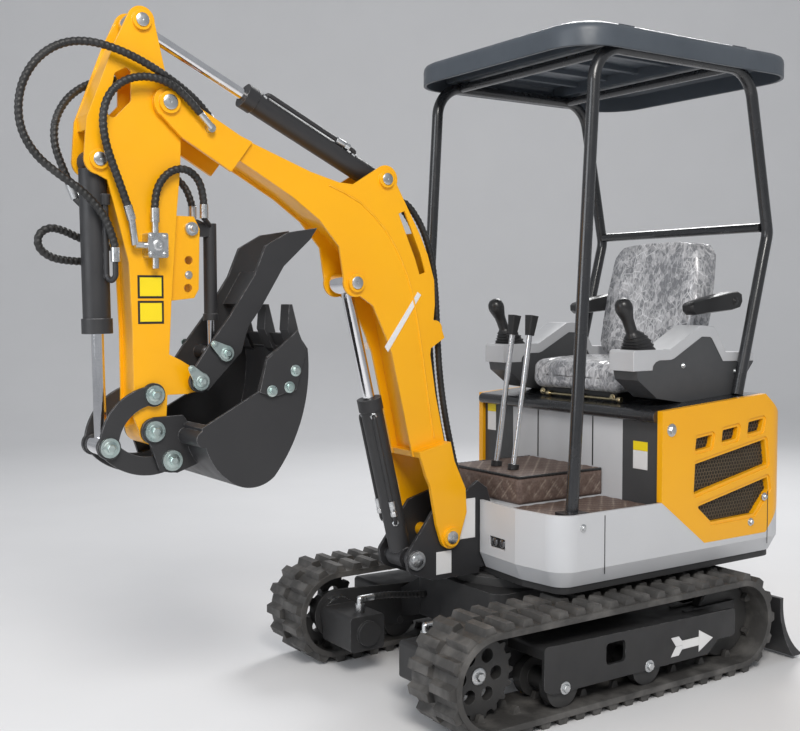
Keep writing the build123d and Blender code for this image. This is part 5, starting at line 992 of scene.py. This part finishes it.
def well_length(y):
    """Length of the footwell mat at y, with its crease and round outer corner."""
    rise = y / WELL_CREASE if y < WELL_CREASE else 1 - (y - WELL_CREASE) / WELL_FLANK
    edge = WELL_FRONT + WELL_BULGE * rise
    inside = y - (WELL_OUTER - WELL_CORNER)
    if inside > 0:
        edge -= WELL_CORNER - math.sqrt(max(WELL_CORNER ** 2 - inside ** 2, 0))
    return edge - MAT_REAR


def make_mats():
    length = PLATFORM_FRONT - MAT_REAR
    width = 2 * PLATFORM_HALF
    platform = Batch()
    quilt(platform, at(MAT_REAR, -PLATFORM_HALF, PLATFORM_TOP), FRONT, lambda v: length, LEFT, width, UP)
    quilt(platform, at(PLATFORM_FRONT, -PLATFORM_HALF, RISER_LOW), LEFT, lambda v: width, UP, RISER, FRONT)
    finish_quilt(platform, "platform_quilt", "platform_mat")
    wells = Batch()
    for turn in BOTH:
        out = LEFT * turn
        quilt(wells, at(MAT_REAR, turn * WELL_INNER, FLOOR_TOP), FRONT, lambda v: well_length(WELL_INNER + v),
              out, WELL_OUTER - WELL_INNER, UP)
        quilt(wells, at(MAT_REAR, turn * PLATFORM_HALF, RISER_LOW), FRONT, lambda v: length, UP, RISER, out)
    finish_quilt(wells, "footwell_quilts", "footwell_mats")
    edging = Batch()
    top = PLATFORM_TOP + 2
    left, right = [at(PLATFORM_FRONT, turn * PLATFORM_HALF, top) for turn in BOTH]
    for turn, front in zip(BOTH, (left, right)):
        bead(edging, [at(MAT_REAR + 4, turn * PLATFORM_HALF, top), front], EDGING, 12)
    bead(edging, [right, left], EDGING, 12)
    edging.build("mat_edging", "knob", "house", "knob_black", 60)


# Vents

SMALL_VENT = [(-389, 842), (-471, 851), (-461, 807), (-383, 798)]
SMALL_VENT_STEPS = ((0, 0), (-137, 20), (-276, 40))
MAIN_VENT = [(-384, 753), (-756, 814), (-771, 721), (-378, 647)]
LOWER_VENT = [(-396, 602), (-772, 673), (-780, 628), (-697, 545), (-470, 541)]
VENT_GROW = 1.04
CELL = 8.5
CELL_BAR = 1.5
CELL_DEPTH = 3.0
CELL_RING = ((CELL, 0), (CELL, CELL_DEPTH), (CELL - CELL_BAR, CELL_DEPTH), (CELL - CELL_BAR, 0))
MESH_FACE = 476.2


def inside(x, z, outline):
    """Whether a place lies inside an outline, grown about its middle."""
    middle_x = sum(corner_x for corner_x, _ in outline) / len(outline)
    middle_z = sum(corner_z for _, corner_z in outline) / len(outline)
    grown = [(middle_x + (corner_x - middle_x) * VENT_GROW, middle_z + (corner_z - middle_z) * VENT_GROW)
             for corner_x, corner_z in outline]
    crossings = False
    for (x0, z0), (x1, z1) in zip(grown, grown[1:] + grown[:1]):
        if (z0 > z) != (z1 > z) and x < (x1 - x0) * (z - z0) / (z1 - z0) + x0:
            crossings = not crossings
    return crossings


def hex_cell(batch, x, z, turn):
    """One cell of the mesh: a hexagonal ring."""
    points = []
    for radius, depth in CELL_RING:
        points += [at(x + radius * math.sin(math.tau * step / 6), turn * (MESH_FACE + depth),
                      z + radius * math.cos(math.tau * step / 6)) for step in range(6)]
    faces = []
    for ring in range(4):
        for step in range(6):
            following = (step + 1) % 6
            other = (ring + 1) % 4
            face = [ring * 6 + step, other * 6 + step, other * 6 + following, ring * 6 + following]
            faces.append(face if turn > 0 else list(reversed(face)))
    batch.add(points, faces)


def make_vents():
    outlines = [MAIN_VENT, LOWER_VENT]
    outlines += [[(x + dx, z + dz) for x, z in SMALL_VENT] for dx, dz in SMALL_VENT_STEPS]
    batch = Batch()
    pitch = CELL * math.sqrt(3)
    for outline in outlines:
        row = 0
        z = min(z for _, z in outline)
        while z <= max(z for _, z in outline):
            x = min(x for x, _ in outline) + (row % 2) * pitch / 2
            while x <= max(x for x, _ in outline):
                if inside(x, z, outline):
                    for turn in BOTH:
                        hex_cell(batch, x, z, turn)
                x += pitch
            z += CELL * 1.5
            row += 1
    batch.build("vent_cells", "bronze", "house", "mesh_black", 20)


# Controls, lamps and valve

CONSOLE_TRIM = [(-171.5, 1078), (-171.5, 1142), (-179, 1150), (-353, 1150), (-506, 1230), (-530, 1231),
                (-580, 1226), (-590, 1219), (-647, 1132), (-790, 1128), (-802, 1122), (-802, 1096),
                (-632, 1099), (-570, 1184), (-560, 1190), (-516, 1192), (-372, 1117), (-355, 1112),
                (-296, 1112), (-278, 1106), (-266, 1094), (-263, 1078)]
CONSOLE_INNER = 292
CONSOLE_OUTER = 404
TRIM_PROUD = 1.8
TRIM_BEVEL = 2
NOSE_LINE = [(-214, 310, 1040), (-214, 386, 1040), (-209, 386, 1052), (-209, 310, 1052)]
CONSOLE_BOLTS = ((-420, 1090), (-700, 1060))
CONSOLE_BOLT = (12, 6)
STICK_FOOT = (-250, 348, 1148)
STICK_LEAN = Vector((0.4229, 0, 0.9062))
STICK_BOOT = [(50, -3), (50, 3), (44, 10), (47, 16), (40, 23), (43, 29), (36, 36), (38, 42), (31, 49),
              (33, 55), (25, 63), (21, 70)]
STICK_GRIP = [(20, 60), (20, 100), (21, 120), (26, 138), (31, 156), (31, 168), (27, 183), (18, 193),
              (8, 196), (1, 196.5)]
BOOT_SIDES = 48
ARMREST = [(-551, 1280), (-548, 1300), (-560, 1311), (-640, 1331), (-760, 1351), (-812, 1354),
           (-834, 1345), (-838, 1318), (-826, 1295), (-780, 1284), (-640, 1272), (-570, 1267)]
ARMREST_MIDDLE = 301
ARMREST_HALF = 27
ARMREST_BEVEL = 9
PIVOT = (-770, 276, 1316)
PIVOT_BAR = [(16, -4), (16, 29)]
PIVOT_BOLT_X = -790
PIVOT_BOLT_Z = 1318
PIVOT_BOLT = (18, 4)
VALVE = (1412, 103, 1480)
VALVE_BOLTS = ((-20, -25), (-20, 25), (20, -25), (20, 25))
VALVE_BOLT = (9, 5)
VALVE_CAP = [(16, 0), (16, 4), (13, 6), (7, 6), (6, 4), (2, 4)]
LAMP_Y = 198
LAMP_X = 243
LAMP_Z = 502
LAMP_HALF = 43
LAMP_RISE = 17
POCKET = 4
POCKET_BEVEL = 1
LENS = [(15, 0), (15, 3), (12, 5), (5, 6.5), (1, 7)]
LENS_PLACES = (-20, 20)


def square_ring(centre, along, size, power):
    """Ring between a square and a circle, across a direction."""
    _, across, up = axes_for(along)
    points = []
    for step, spoke in enumerate(around(across, up, BOOT_SIDES)):
        angle = math.tau * step / BOOT_SIDES
        reach = (abs(math.cos(angle)) ** power + abs(math.sin(angle)) ** power) ** (-1 / power)
        points.append(centre + spoke * reach * size * MM)
    return points


def make_sticks():
    """Ribbed square boots with pear-shaped knobs that lean forward."""
    sticks = Batch()
    x, y, z = STICK_FOOT
    for turn in BOTH:
        foot = at(x, turn * y, z)
        rings = []
        for index, (size, height) in enumerate(STICK_BOOT):
            share = index / (len(STICK_BOOT) - 1)
            along = UP.lerp(STICK_LEAN, share).normalized()
            rings += square_ring(foot + along * height * MM, along, size, 6 - 4 * share)
        sticks.add(rings, skin(BOOT_SIDES, len(STICK_BOOT)))
        lathe(sticks, foot, STICK_LEAN, STICK_GRIP, 40)
    made = sticks.build("joystick_grips", "knob", "house", "knob_black", 40)
    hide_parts("joysticks")


def make_armrests():
    """Thick tapered rests on a pivot bar at the seat's back."""
    rests = Batch()
    pivot_x, pivot_y, pivot_z = PIVOT
    outer = ARMREST_MIDDLE + ARMREST_HALF
    for turn in BOTH:
        corners = [(x, turn * ARMREST_MIDDLE, z) for x, z in ARMREST]
        for side in BOTH:
            slab(rests, corners, LEFT * side, ARMREST_HALF, ARMREST_BEVEL)
        lathe(rests, at(pivot_x, turn * pivot_y, pivot_z), LEFT * -turn, PIVOT_BAR, 32)
        bolt(rests, at(PIVOT_BOLT_X, turn * outer, PIVOT_BOLT_Z), LEFT * turn, *PIVOT_BOLT)
    made = rests.build("armrest_pads", "knob", "house", "knob_black", 40)
    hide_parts("armrests")


def make_controls():
    trim = Batch()
    bolts = Batch()
    noses = []
    width = CONSOLE_OUTER - CONSOLE_INNER + 2 * TRIM_PROUD
    for turn in BOTH:
        corners = [(x, turn * (CONSOLE_INNER - TRIM_PROUD), z) for x, z in CONSOLE_TRIM]
        slab(trim, corners, LEFT * turn, width, TRIM_BEVEL)
        noses.append(([(x, turn * y, z) for x, y, z in NOSE_LINE], FRONT))
        for x, z in CONSOLE_BOLTS:
            bolt(bolts, at(x, turn * CONSOLE_OUTER, z), LEFT * turn, *CONSOLE_BOLT)
    trim.build("console_trims", "trim", "house", "console_grey")
    sheet_on("console_nose_lines", "trim", "house", noses, "console_grey", 1.5)
    bolts.build("console_bolts", "zinc", "house", "zinc")
    valve = Batch()
    x, y, z = VALVE
    for dx, dz in VALVE_BOLTS:
        bolt(valve, at(x + dx, y, z + dz), LEFT, *VALVE_BOLT)
    lathe(valve, at(x, y, z), LEFT, VALVE_CAP, 32)
    valve.build("valve_bolts", "zinc", "dipper", "zinc")


def make_lamps():
    lens = Batch()
    pocket = Batch()
    for turn in BOTH:
        y = turn * LAMP_Y
        frame_corners = rectangle((y - LAMP_HALF, LAMP_Z - LAMP_RISE), (y + LAMP_HALF, LAMP_Z + LAMP_RISE))
        for corners, direction in on_front(LAMP_X, frame_corners):
            slab(pocket, corners, direction, POCKET, POCKET_BEVEL)
        for offset in LENS_PLACES:
            lathe(lens, at(LAMP_X + POCKET, y + offset, LAMP_Z), FRONT, LENS, 32)
    pocket.build("lamp_pockets", "knob", "house", "knob_black")
    lens.build("lamp_lenses", "lens", "house", "chrome_rod")


# Fittings on the solids: node, start and end of the axis, radius
FITTINGS = [
    ("boom", (1168, 28, 1812), (1228, 46, 1868), 12), ("boom", (1168, -28, 1812), (1228, -46, 1868), 12),
    ("boom", (1240, 78, 1824), (1240, 110, 1824), 16), ("boom", (1240, 96, 1824), (1276, 96, 1862), 13),
    ("dipper", (1470, -58, 1478), (1470, -87, 1478), 16),
    ("dipper", (1470, -72, 1478), (1484, -72, 1478), 13),
    ("dipper", (1412, -58, 1546), (1412, -95, 1546), 16),
    ("dipper", (1412, -80, 1546), (1412, -80, 1586), 15),
    ("bucket_barrel", (1527, 72, 1472), (1527, 72, 1432), 15),
    ("bucket_barrel", (1614, -46, 1654), (1598, -46, 1614), 15),
    ("thumb_barrel", (1244, 42, 1606), (1244, 42, 1566), 15),
    ("thumb_barrel", (1244, -42, 1606), (1244, -42, 1566), 15),
]
LEVER_GRIP_LOW = 1.190
LEVER_BOOT_TOP = 0.746
MOTOR_ELBOW_LOW = 0.236
PAST_END = 0.02


def near_line(point, start, run):
    """Distance from a point to a run, or a long way where it lies past the ends."""
    share = (point - start).dot(run) / run.length_squared
    if share < -PAST_END or share > 1 + PAST_END:
        return 1.0
    return (point - start - run * share).length


def paint_details():
    """Grips and boots of the levers, fittings and elbows that are part of the solids."""
    paint_faces("travel_levers", "knob",
                lambda middle: middle.z > LEVER_GRIP_LOW or middle.z < LEVER_BOOT_TOP)
    for node, start, end, radius in FITTINGS:
        low = at(*start)
        run = at(*end) - low
        paint_faces(node, "zinc", lambda middle: near_line(middle, low, run) < radius * MM)
    paint_faces("travel_motors", "zinc", lambda middle: middle.z > MOTOR_ELBOW_LOW)


# Roof shell over the hoops: profiles hold (inset, rise)

ROOF_EDGE = 2138
ROOF_MIDDLE = -400
ROOF_LENGTH = 1100
ROOF_HALF = 487
ROOF_CORNER = 160
ROOF_CORNER_LEAST = 26
ROOF_STEPS = 10
ROOF_TOP = [(0, 0), (0, 50), (2, 62), (8, 71), (22, 78), (60, 90), (120, 103), (176, 111), (184, 122),
            (192, 127), (250, 136), (320, 144), (400, 149)]
ROOF_UNDER = [(60, 76), (22, 72), (12, 60), (11, 0)]
RIB_TOP = 2217
RIB_BEVEL = 4
LONG_RIB = 22
CROSS_RIB = 45
# Ribs: rear and front X, right and left Y
LONG_RIBS = [(-880, 80, y - 12, y + 12) for y in (-330, -165, 0, 165, 330)]
CROSS_RIBS = [(x - 35, x + 35, -470, 470) for x in (-60, -620)]


def roof_loop(inset, rise):
    """Rounded outline of the roof, drawn in by inset."""
    radius = max(ROOF_CORNER - inset, ROOF_CORNER_LEAST)
    half_x = ROOF_LENGTH / 2 - inset - radius
    half_y = ROOF_HALF - inset - radius
    points = []
    for turn, (side_x, side_y) in enumerate(((1, 1), (-1, 1), (-1, -1), (1, -1))):
        for step in range(ROOF_STEPS + 1):
            angle = math.pi / 2 * (turn + step / ROOF_STEPS)
            points.append(at(ROOF_MIDDLE + side_x * half_x + radius * math.cos(angle),
                             side_y * half_y + radius * math.sin(angle), ROOF_EDGE + rise))
    return points


def make_roof():
    loops = [roof_loop(*row) for row in ROOF_UNDER + ROOF_TOP]
    shell = Batch()
    shell.add(sum(loops, []), skin(len(loops[0]), len(loops)))
    made = shell.build("roof_shell", "roof", "house", "roof_plastic", 32)
    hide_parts("canopy_roof")
    ribs = Batch()
    for rows, depth in ((LONG_RIBS, LONG_RIB), (CROSS_RIBS, CROSS_RIB)):
        for rear, front, right, left in rows:
            corners = [(rear, left), (front, left), (front, right), (rear, right)]
            slab(ribs, [(x, y, RIB_TOP) for x, y in corners], -UP, depth, RIB_BEVEL)
    ribs.build("roof_ribs", "roof", "house", "roof_plastic")


# Steel pipes on the cylinders: name, body, foot and eye in X and Z, tube radius, rise, start, end, way in Y

PIPE = 7.0
PIPE_GAP = 3
RAMS = [
    ("arm_ram", "arm_barrel", (615, 1715), (1435, 2113), 35, 0.8, 120, 470, 0.6),
    ("lift_ram_left", "lift_barrel", (513, 455), (732, 1379), 37, -0.45, 130, 505, 0.9),
    ("lift_ram_right", "lift_barrel", (513, 455), (732, 1379), 37, -0.45, 130, 505, -0.9),
]
FOOT_NUT = [(12, 0), (12, 5), (9, 7)]
UNION_NUT = [(9, 0), (11, 2), (11, 16), (9, 18)]
SLEEVE = [(9, 0), (10, 2), (10, 34), (9, 36)]
UNION_START = 26
SLEEVE_START = 44


def pipe(batch, points, radius, sides=16):
    """Plain pipe through points, mitred at its bends."""
    rings = []
    across = axes_for(points[1] - points[0])[1]
    for index, place in enumerate(points):
        into = (place - points[index - 1]).normalized() if index else (points[1] - points[0]).normalized()
        out = (points[index + 1] - place).normalized() if index + 1 < len(points) else into
        along = (into + out).normalized()
        across = (across - along * across.dot(along)).normalized()
        rings += [place + spoke * radius * MM for spoke in around(across, along.cross(across), sides)]
    batch.add(rings, skin(sides, len(points)))


def ram_pipe(name, body, foot, eye, radius, lift, start, end, way):
    """Pipe along a cylinder's tube from its foot end to its gland, with a fitting at each end."""
    run = Vector((eye[0] - foot[0], 0, eye[1] - foot[1])).normalized()
    out = (Vector((-run.z, 0, run.x)) * lift + LEFT * way).normalized()
    reach = radius + PIPE + PIPE_GAP

    def spot(along, away):
        return at(foot[0], 0, foot[1]) + (run * along + out * away) * MM

    rise = [(0, radius - 4), (0, reach - 8), (4, reach - 2), (12, reach)]
    points = [spot(start + along, away) for along, away in rise]
    points += [spot(end - along, away) for along, away in reversed(rise)]
    line = Batch()
    pipe(line, points, PIPE)
    line.build(name + "_pipe", "black", body, "black_paint", 50)
    fit = Batch()
    for along in (start, end):
        lathe(fit, spot(along, radius - 3), out, FOOT_NUT, 6)
    lathe(fit, spot(start + UNION_START, reach), run, UNION_NUT, 6)
    lathe(fit, spot(start + SLEEVE_START, reach), run, SLEEVE, 24)
    fit.build(name + "_fittings", "zinc", body, "zinc")


def make_ram_pipes():
    for row in RAMS:
        ram_pipe(*row)


# Lock plates on the thumb's pins: pin and tip in X and Z, outer Y, body

LOCKS = [((1287, 1088), (1318, 1126), 106.3, "dipper"), ((1207, 1168), (1246, 1196), 106, "thumb")]
LOCK_ROUND = 24
LOCK_TIP = 11
LOCK_DEPTH = 4
LOCK_BEVEL = 0.8
TIP_BOLT = (12, 6)
PIN_BOLT = (20, 10)


def arc(x, z, radius, angles):
    return [(x + radius * math.cos(angle), z + radius * math.sin(angle)) for angle in angles]


def make_locks():
    for (x, z), (tip_x, tip_z), y, body in LOCKS:
        heading = math.atan2(tip_z - z, tip_x - x)
        outline = arc(x, z, LOCK_ROUND, [heading + math.radians(a) for a in range(60, 301, 20)])
        outline += arc(tip_x, tip_z, LOCK_TIP, [heading + math.radians(a) for a in (-60, -20, 20, 60)])
        batch = Batch()
        for corners, direction in on_sides(y, outline):
            slab(batch, corners, direction, LOCK_DEPTH, LOCK_BEVEL)
            face = direction * (y + LOCK_DEPTH) * MM
            bolt(batch, at(tip_x, 0, tip_z) + face, direction, *TIP_BOLT)
            bolt(batch, at(x, 0, z) + face, direction, *PIN_BOLT)
        batch.build("lock_plates_" + body, "teal", body, "zinc")


# Floor and backdrop, in metres

FLOOR_HALF = 14.0
BACKDROP_FAR = -6.5
BACKDROP_ROUND = 3.0
BACKDROP_STEPS = 16


def make_stage():
    look = Look("studio_floor", (0.80, 0.80, 0.80), 0.7)
    drift = look.span(look.noise(1.6), 0.3, 0.7, 0, 1)
    look.feed("Base Color", look.mix(drift, (0.80, 0.80, 0.81), (0.78, 0.78, 0.79)))
    look.bump(look.noise(90.0, 5.0), 0.05, 1.0)
    rows = [(FLOOR_HALF, 0.0), (0.0, 0.0), (BACKDROP_FAR, 0.0)]
    for step in range(1, BACKDROP_STEPS + 1):
        angle = math.pi / 2 * step / BACKDROP_STEPS
        rows.append((BACKDROP_FAR - BACKDROP_ROUND * math.sin(angle), BACKDROP_ROUND * (1 - math.cos(angle))))
    rows.append((BACKDROP_FAR - BACKDROP_ROUND, FLOOR_HALF))
    toward = Vector((math.sin(CAMERA_YAW), math.cos(CAMERA_YAW), 0))
    sideways = Vector((toward.y, -toward.x, 0))
    points = []
    for away, height in rows:
        for side in (-FLOOR_HALF, FLOOR_HALF):
            points.append(toward * away + sideways * side + UP * height)
    faces = [[2 * i, 2 * i + 1, 2 * i + 3, 2 * i + 2] for i in range(len(rows) - 1)]
    mesh_object("studio_floor", points, faces, look.done())


make_camera()
make_light()
dress_nodes()
make_hoses()
make_pins()
make_bolts()
make_track_hubs()
make_plates()
make_welds()
make_seat()
make_mats()
make_vents()
make_controls()
make_sticks()
make_armrests()
make_lamps()
make_roof()
make_ram_pipes()
make_locks()
paint_details()
make_stage()
